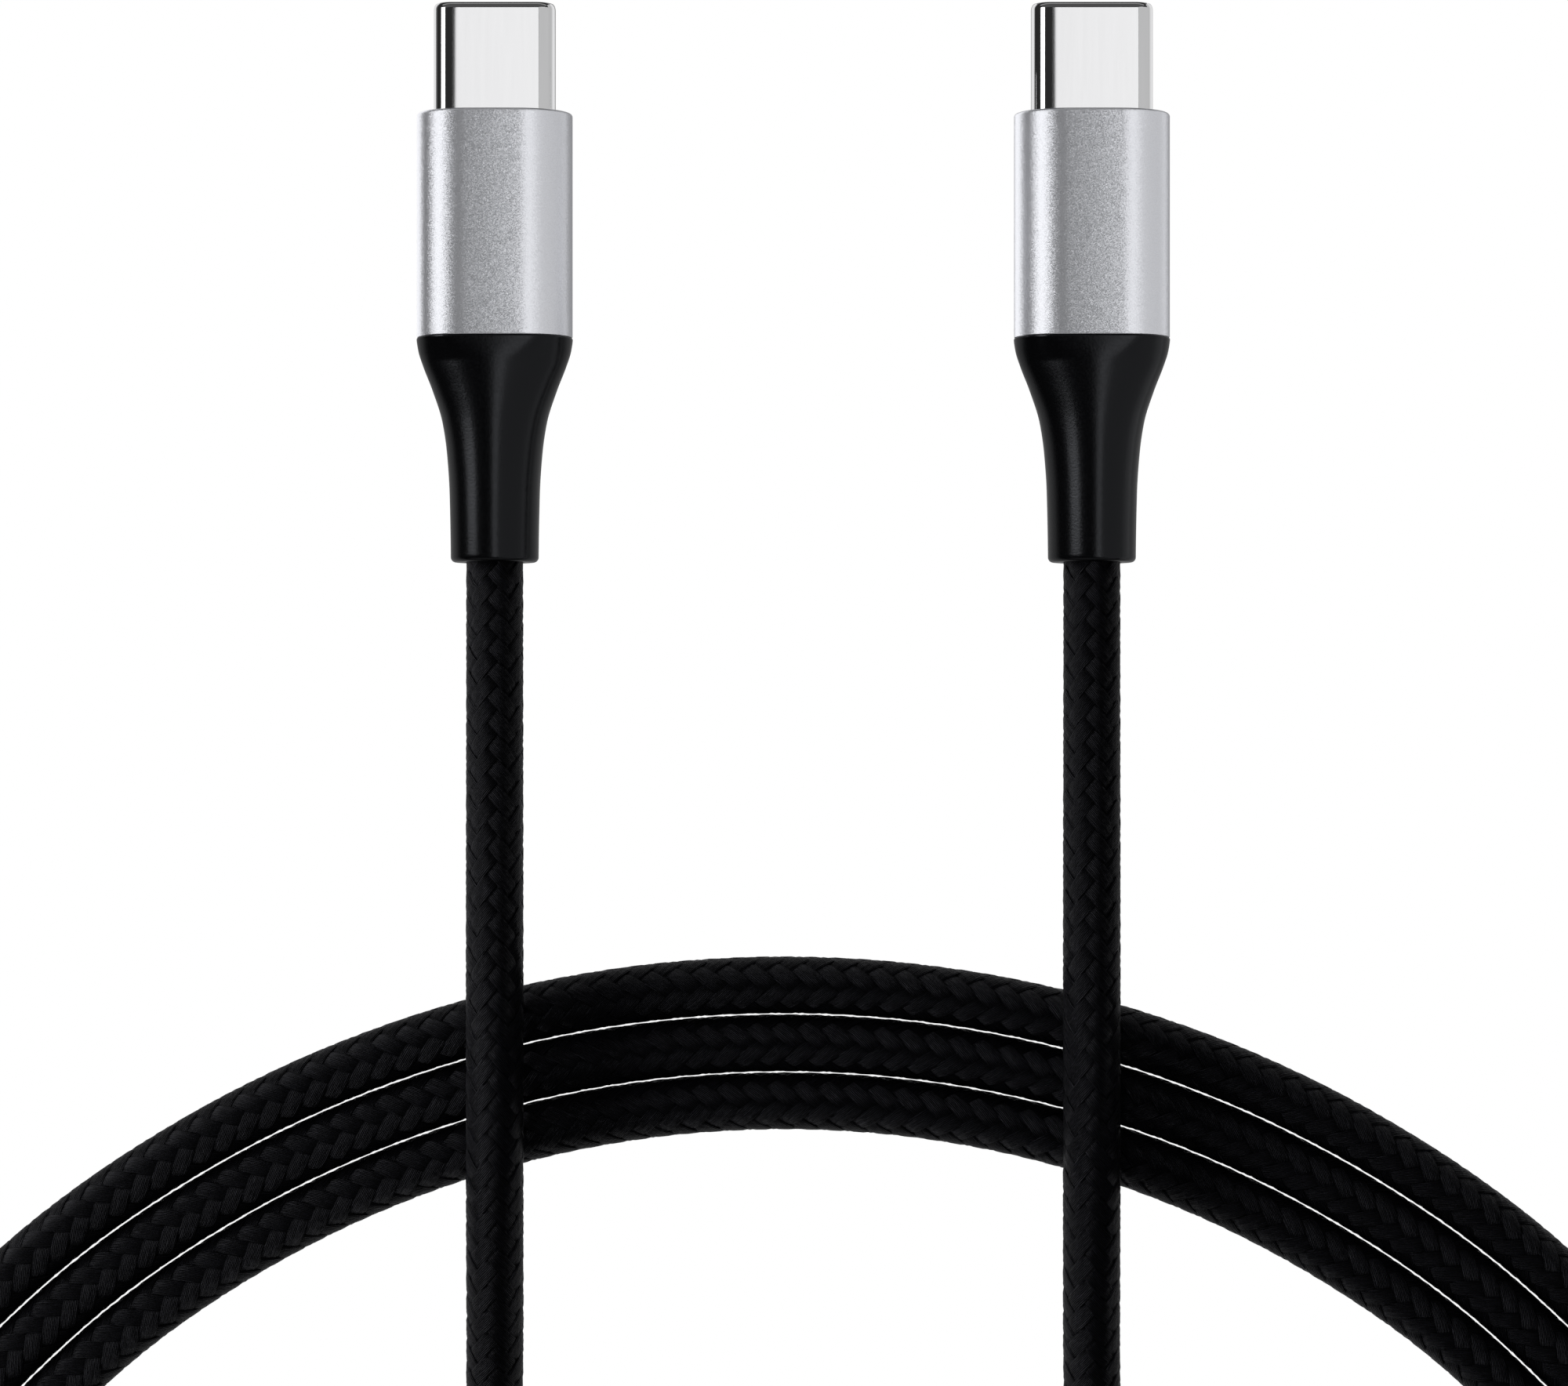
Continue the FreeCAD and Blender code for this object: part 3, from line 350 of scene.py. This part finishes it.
class Look:
    """A material under construction, with short ways to add nodes."""

    def __init__(self, name, colour, roughness, metallic=0.0):
        self.material = bpy.data.materials.new(name)
        self.material.use_nodes = True
        self.tree = self.material.node_tree
        self.shader = self.tree.nodes["Principled BSDF"]
        self.set(Base_Color=(*colour, 1.0), Roughness=roughness, Metallic=metallic)

    def set(self, **sockets):
        """Set values on the shader's own sockets, with _ for a space in a name."""
        for name, value in sockets.items():
            self.shader.inputs[name.replace("_", " ")].default_value = value
        return self

    def node(self, kind, **settings):
        """New node, with its properties and the values of its sockets."""
        node = self.tree.nodes.new(kind)
        for name, value in settings.items():
            if hasattr(node, name):
                setattr(node, name, value)
            else:
                node.inputs[name.replace("_", " ")].default_value = value
        return node

    def link(self, source, target):
        self.tree.links.new(source, target)

    def coordinates(self, stretch=(1.0, 1.0, 1.0)):
        """Object coordinates in metres, stretched."""
        source = self.node("ShaderNodeTexCoord")
        mapping = self.node("ShaderNodeMapping", Scale=stretch)
        self.link(source.outputs["Object"], mapping.inputs["Vector"])
        return mapping.outputs["Vector"]

    def noise(self, vector, scale, detail=2.0, roughness=0.5):
        """Smooth noise, scale cells to the unit."""
        noise = self.node("ShaderNodeTexNoise", Scale=scale, Detail=detail, Roughness=roughness)
        self.link(vector, noise.inputs["Vector"])
        return noise.outputs["Fac"]

    def span(self, value, low, high, out_low, out_high):
        """Map a value from one range to another, held at the ends."""
        node = self.node("ShaderNodeMapRange", From_Min=low, From_Max=high,
                         To_Min=out_low, To_Max=out_high)
        self.link(value, node.inputs["Value"])
        return node.outputs["Result"]

    def mix(self, factor, first, second):
        """Base colour: the first one where a factor is 0, and the second where it is 1."""
        node = self.node("ShaderNodeMix", data_type="RGBA")
        node.inputs[6].default_value = (*first, 1.0)
        node.inputs[7].default_value = (*second, 1.0)
        self.link(factor, node.inputs["Factor"])
        self.link(node.outputs[2], self.shader.inputs["Base Color"])

    def bump(self, height, strength, distance):
        """Relief of a height from 0 to 1 over a distance in metres."""
        node = self.node("ShaderNodeBump", Strength=strength, Distance=distance)
        self.link(height, node.inputs["Height"])
        self.link(node.outputs["Normal"], self.shader.inputs["Normal"])
        return self

    def facets(self, vector, scale, tilt):
        """Small cells, each with its own slight tilt."""
        cells = self.node("ShaderNodeTexVoronoi", Scale=scale)
        self.link(vector, cells.inputs["Vector"])
        centred = self.node("ShaderNodeVectorMath", operation="SUBTRACT")
        self.link(cells.outputs["Color"], centred.inputs[0])
        centred.inputs[1].default_value = (0.5, 0.5, 0.5)
        tilted = self.node("ShaderNodeVectorMath", operation="MULTIPLY_ADD")
        self.link(centred.outputs[0], tilted.inputs[0])
        tilted.inputs[1].default_value = (tilt, tilt, tilt)
        self.link(self.node("ShaderNodeNewGeometry").outputs["Normal"], tilted.inputs[2])
        unit = self.node("ShaderNodeVectorMath", operation="NORMALIZE")
        self.link(tilted.outputs[0], unit.inputs[0])
        self.link(unit.outputs[0], self.shader.inputs["Normal"])
        return self


def braid_look():
    """Black nylon filaments, lying along each strand, with a dull sheen and painted glints on their
    crests.
    """
    look = Look("braid nylon", (0.006, 0.006, 0.007), 0.45)
    uv = look.node("ShaderNodeUVMap", uv_map="strand")

    # Filaments in bands along the strand, and streaks where they lie higher or lower.
    filament = look.node("ShaderNodeTexWave", wave_type="BANDS", bands_direction="X",
                         Scale=1.75, Distortion=2.5, Detail=2.0, Detail_Scale=0.6)
    look.link(uv.outputs["UV"], filament.inputs["Vector"])
    mapping = look.node("ShaderNodeMapping", Scale=(7.0, 1.2, 1.0))
    look.link(uv.outputs["UV"], mapping.inputs["Vector"])
    streak = look.noise(mapping.outputs["Vector"], scale=1.0, detail=3.0, roughness=0.6)
    height = look.node("ShaderNodeMath", operation="MULTIPLY_ADD")
    look.link(filament.outputs["Fac"], height.inputs[0])
    height.inputs[1].default_value = 0.6
    look.link(streak, height.inputs[2])

    look.link(look.span(streak, *NOISE_CORE, 0.48, 0.20), look.shader.inputs["Roughness"])
    look.set(Specular_IOR_Level=0.40, Specular_Tint=(0.88, 0.88, 1.0, 1.0))
    # Painted glints: the base colour turns lighter on the highest filament crests, standing in for
    # their highlights.
    look.mix(look.span(height.outputs[0], 1.0, 1.22, 0.0, 1.0), (0.0004, 0.0004, 0.0006),
             (0.044, 0.043, 0.058))
    return look.bump(height.outputs[0], strength=1.0, distance=0.065 * MM).material


def sleeve_look():
    """Bead-blasted and anodised aluminium: fine facets that catch the lights one by one."""
    look = Look("blasted aluminium", (0.88, 0.88, 0.90), 0.34, metallic=1.0)
    place = look.coordinates()
    grain = look.noise(place, scale=30000.0, detail=1.0)
    look.mix(look.span(grain, *NOISE_CORE, 0.0, 1.0), (0.79, 0.80, 0.84), (0.94, 0.95, 1.0))
    return look.facets(place, scale=24000.0, tilt=0.18).material


def mirror_look():
    """Polished steel of the plug shell, with the faintest lines along it."""
    look = Look("polished steel", (0.93, 0.93, 0.94), 0.06, metallic=1.0)
    lines = look.noise(look.coordinates(stretch=(1.0, 0.05, 1.0)), scale=3000.0)
    look.mix(look.span(lines, *NOISE_RANGE, 0.0, 1.0), (0.92, 0.92, 0.93), (0.94, 0.94, 0.95))
    return look.material


def boot_look():
    """Satin black elastomer with a fine spark-eroded grain."""
    look = Look("satin elastomer", (0.0016, 0.0016, 0.0022), 0.20)
    grain = look.noise(look.coordinates(), scale=7000.0)
    look.link(look.span(grain, *NOISE_RANGE, 0.19, 0.27), look.shader.inputs["Roughness"])
    look.set(Specular_Tint=(0.90, 0.93, 1.0, 1.0))
    return look.bump(grain, strength=0.30, distance=0.015 * MM).material


def moulded_look(name, colour, roughness):
    """Moulded plastic with a faint orange-peel."""
    look = Look(name, colour, roughness)
    grain = look.noise(look.coordinates(), scale=2500.0)
    darker = tuple(0.85 * value for value in colour)
    look.mix(look.span(grain, *NOISE_CORE, 0.0, 1.0), darker, colour)
    return look.bump(grain, strength=0.15, distance=0.01 * MM).material


def stamped_look(name, colour, roughness):
    """Stamped or rolled metal with lines along the plug."""
    look = Look(name, colour, roughness, metallic=1.0)
    lines = look.noise(look.coordinates(stretch=(1.0, 0.04, 1.0)), scale=6000.0)
    look.link(look.span(lines, *NOISE_RANGE, 0.8 * roughness, 1.3 * roughness),
              look.shader.inputs["Roughness"])
    return look.bump(lines, strength=0.1, distance=0.005 * MM).material


def card_look():
    """Green circuit card with faint copper traces under the mask."""
    look = Look("circuit card", (0.01, 0.12, 0.05), 0.35)
    traces = look.node("ShaderNodeTexWave", Scale=900.0, Distortion=2.0)
    look.link(look.coordinates(), traces.inputs["Vector"])
    look.mix(look.span(traces.outputs["Fac"], 0.6, 0.8, 0.0, 1.0), (0.01, 0.10, 0.045),
             (0.03, 0.20, 0.08))
    return look.set(Coat_Weight=0.4).material


LOOKS = {
    "steel_shell": mirror_look(),
    "black_insert": moulded_look("black insert", (0.02, 0.02, 0.021), 0.45),
    "gold_contact": stamped_look("gold contact", (0.83, 0.60, 0.26), 0.22),
    "spring_steel": stamped_look("spring steel", (0.60, 0.60, 0.61), 0.28),
    "card_green": card_look(),
    "chip_black": moulded_look("chip epoxy", (0.02, 0.02, 0.022), 0.6),
    "ceramic_tan": moulded_look("ceramic", (0.50, 0.38, 0.25), 0.4),
    "can_steel": stamped_look("tinned sheet", (0.66, 0.66, 0.67), 0.3),
    "mould_white": moulded_look("inner mould", (0.72, 0.72, 0.71), 0.5),
    "crimp_copper": stamped_look("drawn copper", (0.78, 0.42, 0.28), 0.3),
    "anodised_sleeve": sleeve_look(),
    "black_boot": boot_look(),
    "cord_jacket": moulded_look("cord jacket", (0.015, 0.015, 0.016), 0.5),
    "wire_red": moulded_look("red wire", (0.55, 0.03, 0.03), 0.35),
    "wire_black": moulded_look("black wire", (0.02, 0.02, 0.02), 0.35),
    "wire_white": moulded_look("white wire", (0.75, 0.75, 0.73), 0.35),
    "wire_blue": moulded_look("blue wire", (0.03, 0.10, 0.45), 0.35),
    "braid_black": braid_look(),
}

for part in frame["record"]["subparts"]:
    slots = frame["nodes"][part["node"]].data.materials
    slots.clear()
    slots.append(LOOKS[part["material_slot"]])
core.data.materials.append(LOOKS["cord_jacket"])
for strand in strands:
    strand.data.materials.append(LOOKS["braid_black"])

# ------------------------------------------------------------------ shells and sleeves of the plugs

EDGE_STEPS = 8                  # rings round an edge,
EDGE_HOLD = 0.02                # and the angle before its end of one more, for even shading
END_POINTS = 40                 # points round one end of a section
FLAT_POINTS = 12                # points along one flat of a section
RIM = 0.04 * MM                 # small break of the inner edge


def section(half_width, half_height, crown, stretch):
    """Closed section, X and Z: nearly flat above and below, round at both sides.

    crown is the slope at the ends of the flats, and stretch lengthens the round ends.
    """
    tip = math.tan(crown / 2)
    radius = ((half_height - tip * half_width)
              / (math.cos(crown) - tip * stretch * (1 - math.sin(crown))))
    flat = half_width - stretch * radius * (1 - math.sin(crown))
    turn = np.linspace(math.pi - crown, crown, END_POINTS)
    end = flat + stretch * radius * (np.sin(turn) - math.sin(crown))
    share = np.linspace(1.0, -1.0, FLAT_POINTS + 2)[1:-1]
    top = half_height - tip * flat * share ** 2
    across = np.r_[end, share * flat, -end, -share * flat]
    up = np.r_[radius * np.cos(turn), top, -radius * np.cos(turn), -top]
    return across, up


def edge_profile(length, drop, sweep):
    """Rounding of an edge: distances from its end, and insets.

    sweep is the angle that it turns through, up to a quarter turn.
    """
    angle = np.linspace(0.0, sweep, EDGE_STEPS)
    angle = np.insert(angle, -1, sweep - EDGE_HOLD)
    back = length * (1 - np.sin(angle) / math.sin(sweep))
    inset = drop * (1 - np.cos(angle)) / (1 - math.cos(sweep))
    return list(zip(back, inset))


def make_tube(side, node, slot, wall, front_edge, back_edge, crown=0.0, stretch=1.0):
    """Thin-walled tube in place of a plug's CAD tube: a closed skin with rounded edges."""
    low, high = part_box(f"{side}_{node}")
    centre_x, half_width = 0.5 * (low[0] + high[0]), 0.5 * (high[0] - low[0])
    half_height = 0.5 * (high[2] - low[2])
    rings = [(low[1] + back, inset)
             for back, inset in reversed(edge_profile(back_edge, back_edge, math.pi / 2))]
    rings.append((high[1] - 2 * front_edge[0], 0.0))
    rings += [(high[1] - back, inset) for back, inset in edge_profile(*front_edge)]
    rings += [(high[1], wall - RIM), (high[1] - RIM, wall), (low[1], wall), rings[0]]
    points = []
    for y, inset in rings:
        across, up = section(half_width - inset, half_height - inset, crown, stretch)
        points.append(np.stack([centre_x + across, np.full_like(across, y), AXIS_HEIGHT + up], -1))
    tube = make_mesh(f"{side}_{node}_skin", np.concatenate(points),
                     tube_faces(len(points), len(points[0])))
    tube.data.materials.append(LOOKS[slot])
    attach(tube, f"{side}_plug")
    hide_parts(f"{side}_{node}")


# ------------------------------------------------------------------ strain-relief boots

# Half width of the boot at distances behind its joint with the sleeve, in millimetres.
BOOT_HALF_WIDTHS = [
    (0.0, 5.29), (0.9, 5.17), (1.9, 4.86), (3.6, 4.20), (5.7, 3.54), (7.8, 3.23), (10.5, 3.05),
    (15.2, 2.965),
]
BOOT_END_SLOPE = 0.3            # slope at both ends, as a part of the slope of the piece there
BOOT_HALF_HEIGHT = 2.965
BOOT_OVAL_FROM = 1.6            # distance behind the joint where the section has become an oval
BOOT_JOINT_SQUARENESS = 3.2     # at the joint: 1 for an oval, more for longer flats
BOOT_FACE_INSETS = (1.2, 0.5)   # rings on the front face, from its hole outwards
BOOT_FRONT_EDGE = 0.16          # radius of the edge at the sleeve, and its rings
BOOT_FRONT_STEPS = 5
BOOT_TAIL_EDGE = 0.35           # radius of the edge at the tail, and its rings
BOOT_TAIL_STEPS = 7
BOOT_BORE = 2.0                 # radius of the hole that the cord leaves by
BOOT_BORE_LIPS = (0.25, 0.08)   # rings on the tail's face, outside the hole
BOOT_BORE_BREAK = 0.08          # depth of the broken edge of the hole,
BOOT_BORE_DEPTH = 4.0           # and of the hole
BOOT_RINGS = 90
BOOT_ROUND = 96


def boot_half_width(behind):
    """Half width at a distance behind the joint: a smooth curve through BOOT_HALF_WIDTHS."""
    at, wide = (np.array(column) for column in zip(*BOOT_HALF_WIDTHS))
    gaps, slopes = np.diff(at), np.diff(wide) / np.diff(at)
    tangent = np.zeros_like(at)
    tangent[1:-1] = 2 * slopes[:-1] * slopes[1:] / (slopes[:-1] + slopes[1:])
    tangent[[0, -1]] = BOOT_END_SLOPE * slopes[[0, -1]]
    index = np.clip(np.searchsorted(at, behind, side="right") - 1, 0, len(gaps) - 1)
    part = (behind - at[index]) / gaps[index]
    return ((2 * part ** 3 - 3 * part ** 2 + 1) * wide[index]
            + (part ** 3 - 2 * part ** 2 + part) * gaps[index] * tangent[index]
            + (3 * part ** 2 - 2 * part ** 3) * wide[index + 1]
            + (part ** 3 - part ** 2) * gaps[index] * tangent[index + 1])


def quarter_circle(radius, steps):
    """Rounding of a boot's edge: distances from the face at its end, and insets."""
    angles = [math.pi / 2 * step / (steps - 1) for step in range(steps)]
    return [(radius * (1 - math.sin(angle)), radius * (1 - math.cos(angle))) for angle in angles]


def boot_rings():
    """Rings of the boot from its front face out, down its outside and back into the tail bore.

    Each ring is (distance behind the joint, inset from the outside, radius if it is round or None).
    """
    length = BOOT_HALF_WIDTHS[-1][0]
    front = reversed(quarter_circle(BOOT_FRONT_EDGE, BOOT_FRONT_STEPS))
    outside = np.linspace(BOOT_FRONT_EDGE, length - BOOT_TAIL_EDGE, BOOT_RINGS)[1:-1]
    tail = quarter_circle(BOOT_TAIL_EDGE, BOOT_TAIL_STEPS)
    rings = [(0.0, inset, None) for inset in BOOT_FACE_INSETS]
    rings += [(back, inset, None) for back, inset in front]
    rings += [(float(behind), 0.0, None) for behind in outside]
    rings += [(length - back, inset, None) for back, inset in tail]
    rings += [(length, 0.0, BOOT_BORE + lip) for lip in BOOT_BORE_LIPS]
    rings += [(length - depth, 0.0, BOOT_BORE) for depth in (BOOT_BORE_BREAK, BOOT_BORE_DEPTH)]
    return rings


def make_boot(side):
    """Boot of one plug: fully rounded section that narrows to a round tail, in one skin."""
    low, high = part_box(f"{side}_boot")
    centre_x, joint_y = 0.5 * (low[0] + high[0]), high[1]
    turn = np.linspace(0.0, FULL_TURN, BOOT_ROUND, endpoint=False)
    points = []
    for behind, inset, radius in boot_rings():
        flat = 0.0
        if radius is None:
            radius = BOOT_HALF_HEIGHT - inset
            flat = boot_half_width(behind) - BOOT_HALF_HEIGHT
        oval = min(1.0, behind / BOOT_OVAL_FROM)
        squared = np.clip(BOOT_JOINT_SQUARENESS * np.cos(turn), -1, 1)
        spread = (1 - oval) * squared + oval * np.cos(turn)
        across = radius * np.cos(turn) + flat * spread
        up = radius * np.sin(turn)
        points.append(np.stack([centre_x + MM * across, np.full_like(turn, joint_y - MM * behind),
                                AXIS_HEIGHT + MM * up], axis=-1))
    count = len(points)
    boot = make_mesh(f"{side}_boot_skin", np.concatenate(points), tube_faces(count, BOOT_ROUND))
    boot.data.materials.append(LOOKS["black_boot"])
    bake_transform(boot)
    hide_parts(f"{side}_boot")


for side in SIDES:
    make_tube(side, "plug_shell", "steel_shell", wall=0.30 * MM, back_edge=0.05 * MM,
              front_edge=(0.42 * MM, 0.16 * MM, math.radians(62.0)), stretch=1.125)
    make_tube(side, "aluminium_sleeve", "anodised_sleeve", wall=0.50 * MM, back_edge=0.08 * MM,
              front_edge=(0.22 * MM, 0.22 * MM, math.pi / 2), crown=math.radians(2.2),
              stretch=1.20)
    make_boot(side)

# ------------------------------------------------------------------ backdrop and lights

FLOOR_SIZE = 9.0
FLOOR_DEPTH = 0.05 * MM         # a hair below the cord, so that nothing flickers
DOME_RADIUS = 4.2
DOME_RISES = (-0.02, math.pi / 2 - 0.002)   # angles of its lowest and its highest ring
DOME_RINGS = 24
DOME_ROUND = 48
WORLD_ABOVE = 0.022             # brightness of the dim surroundings,
WORLD_BELOW = 0.30              # and of the white table's glow under them
WORLD_CHANGE = (-0.45, -0.15)   # heights on a unit sphere between which one becomes the other


def stage_look():
    """Even white, bright enough to stay white round the cord's edges."""
    look = Look("studio white", (0.0, 0.0, 0.0), 0.8)
    look.set(Specular_IOR_Level=0.0, Emission_Color=(1.0, 1.0, 1.0, 1.0), Emission_Strength=1.0)
    return look.material


def make_backdrop():
    """White table and white dome, seen by the lens alone: the world stands in for their glow."""
    half = FLOOR_SIZE / 2
    corners = np.array([(-half, -half, -FLOOR_DEPTH), (half, -half, -FLOOR_DEPTH),
                        (half, half, -FLOOR_DEPTH), (-half, half, -FLOOR_DEPTH)])
    floor = make_mesh("floor", corners, np.array([[0, 1, 2, 3]]))
    rise = np.linspace(*DOME_RISES, DOME_RINGS)[:, None]
    turn = np.linspace(0.0, FULL_TURN, DOME_ROUND, endpoint=False)[None, :]
    dome_points = DOME_RADIUS * np.stack([np.cos(rise) * np.cos(turn), np.cos(rise) * np.sin(turn),
                                          np.sin(rise) + 0.0 * turn], axis=-1)
    dome = make_mesh("dome", dome_points.reshape(-1, 3), tube_faces(DOME_RINGS, DOME_ROUND))
    white = stage_look()
    for piece in (floor, dome):
        piece.data.materials.append(white)
        for ray in ("diffuse", "glossy", "transmission", "volume_scatter", "shadow"):
            setattr(piece, f"visible_{ray}", False)


def make_world():
    """Dim surroundings, and the white table's glow from well below the horizon."""
    world = bpy.data.worlds.new("studio")
    world.use_nodes = True
    nodes, links = world.node_tree.nodes, world.node_tree.links
    direction = nodes.new("ShaderNodeTexCoord")
    split = nodes.new("ShaderNodeSeparateXYZ")
    strength = nodes.new("ShaderNodeMapRange")
    for socket, value in (("From Min", WORLD_CHANGE[0]), ("From Max", WORLD_CHANGE[1]),
                          ("To Min", WORLD_BELOW), ("To Max", WORLD_ABOVE)):
        strength.inputs[socket].default_value = value
    nodes["Background"].inputs["Color"].default_value = (1.0, 1.0, 1.0, 1.0)
    links.new(direction.outputs["Generated"], split.inputs[0])
    links.new(split.outputs["Z"], strength.inputs["Value"])
    links.new(strength.outputs["Result"], nodes["Background"].inputs["Strength"])
    bpy.context.scene.world = world


def receivers(name, pieces):
    """Collection of the pieces that a light shines on."""
    group = bpy.data.collections.new(name)
    for piece in pieces:
        group.objects.link(piece)
    return group


def make_softbox(name, target, angles, reach, span, radiance, group, heading=0.0):
    """Rectangular light at a target, which lights only a group of pieces.

    It lies between two angles in degrees from the vertical, left positive, at a distance of reach.
    span is its lowest and highest Y beyond the target's, and heading turns it all round the
    vertical, in degrees.
    """
    low, high = (math.radians(angle) for angle in angles)
    middle, half = (low + high) / 2, (high - low) / 2
    away = Vector((-reach * math.sin(middle), (span[0] + span[1]) / 2, reach * math.cos(middle)))
    turn = Matrix.Rotation(math.radians(heading), 4, "Z")
    data = bpy.data.lights.new(name, "AREA")
    data.shape = "RECTANGLE"
    data.size, data.size_y = 2 * reach * math.tan(half), span[1] - span[0]
    data.energy = radiance * math.pi * data.size * data.size_y
    light = bpy.data.objects.new(name, data)
    light.matrix_world = (Matrix.Translation(target) @ turn @ Matrix.Translation(away)
                          @ Matrix.Rotation(-middle, 4, "Y"))
    light.visible_camera = False
    bpy.context.scene.collection.objects.link(light)
    light.light_linking.receiver_collection = group


LIGHT_REACH = 0.6               # distance of the softboxes from the cable, in metres

# Softboxes of a plug, by piece: name, angles from the mirror direction of the plug's flat top, span
# along the plug and radiance.
PLUG_LIGHTS = {
    "plug_shell": [
        ("under left", (112, 160), (-0.50, 0.60), 0.5),
        ("low left", (39, 63), (-0.10, 0.22), 1.6),
        ("top", (-22, 1.9), (-0.30, 0.20), 0.88),
        ("right", (-80, -23), (-0.50, 0.25), 0.50),
        ("low right", (-150, -80), (-0.50, 0.60), 0.48),
    ],
    "aluminium_sleeve": [
        ("under left", (112, 160), (-0.50, 0.60), 0.85),
        ("low left", (37, 74), (-0.30, 0.50), 1.3),
        ("upper left", (2, 37), (-0.30, 0.50), 0.09),
        ("top", (-33, -5), (-0.30, 0.50), 1.06),
        ("right", (-80, -33), (-0.50, 0.60), 0.56),
        ("low right", (-122, -80), (-0.50, 0.60), 0.52),
    ],
    "boot": [
        ("low left", (40, 64), (0.02, 0.50), 3.2),
        ("top", (-15, -3), (-0.30, 0.50), 1.0),
        ("right", (-80, -17), (-0.50, 0.60), 0.27),
        ("low right", (-106, -80), (-0.50, 0.60), 0.40),
    ],
}

# Softboxes of the cord: name, angles from the vertical, span and radiance.
CORD_MIDDLE = (0.0, -0.08, 0.0)
CORD_LIGHTS = [
    ("left", (58, 104), (-0.50, 0.50), 0.9),
    ("top", (8, 24), (-0.10, 0.50), 0.72),
]

# The room ahead of the plugs' tips (heading -90) and behind the cable (90), which lights the tops
# in low views: heading, angles from the vertical and radiance, by piece.
ROOM_LIGHTS = {
    "plug_shell": [(-90, (60, 72), 0.30), (-90, (20, 60), 0.05), (90, (48, 84), 0.55)],
    "aluminium_sleeve": [(-90, (54, 84), 0.40), (90, (48, 84), 0.45)],
    "boot": [(-90, (54, 84), 0.14), (90, (48, 84), 0.14)],
    "cord": [(-90, (54, 84), 0.06), (90, (54, 84), 0.06)],
}
ROOM_REACH = 0.8
ROOM_HALF_WIDTH = 0.9


def light_plug(side):
    """Soft lights of one plug, turned with the view of it so that both plugs look alike."""
    low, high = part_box(f"{side}_aluminium_sleeve")
    axis_x = 0.5 * (low[0] + high[0])
    target = (axis_x, 0.0, AXIS_HEIGHT)
    view = math.degrees(math.atan((VIEW_CENTRE_X - axis_x) / VIEW_DISTANCE))
    for node, lights in PLUG_LIGHTS.items():
        pieces = [bpy.data.objects[f"{side}_{node}_skin"]]
        if node == "plug_shell":            # its lights fall on what is inside the plug too
            pieces += [piece for name, piece in frame["nodes"].items() if name.startswith(side)]
        group = receivers(f"{side} {node}", pieces)
        for name, angles, span, radiance in lights:
            turned = [angle + view for angle in angles]
            make_softbox(f"{group.name} {name}", target, turned, LIGHT_REACH, span, radiance, group)
        light_room(node, target, group)


def light_room(node, target, group):
    """Wide low softboxes ahead of a target and behind it."""
    for heading, angles, radiance in ROOM_LIGHTS[node]:
        make_softbox(f"{group.name} room", target, angles, ROOM_REACH,
                     (-ROOM_HALF_WIDTH, ROOM_HALF_WIDTH), radiance, group, heading)


make_backdrop()
make_world()
for side in SIDES:
    light_plug(side)
cord_group = receivers("cord", [core] + strands)
for name, angles, span, radiance in CORD_LIGHTS:
    make_softbox(f"cord {name}", CORD_MIDDLE, angles, LIGHT_REACH, span, radiance, cord_group)
light_room("cord", CORD_MIDDLE, cord_group)

bpy.context.scene.view_settings.view_transform = "Standard"
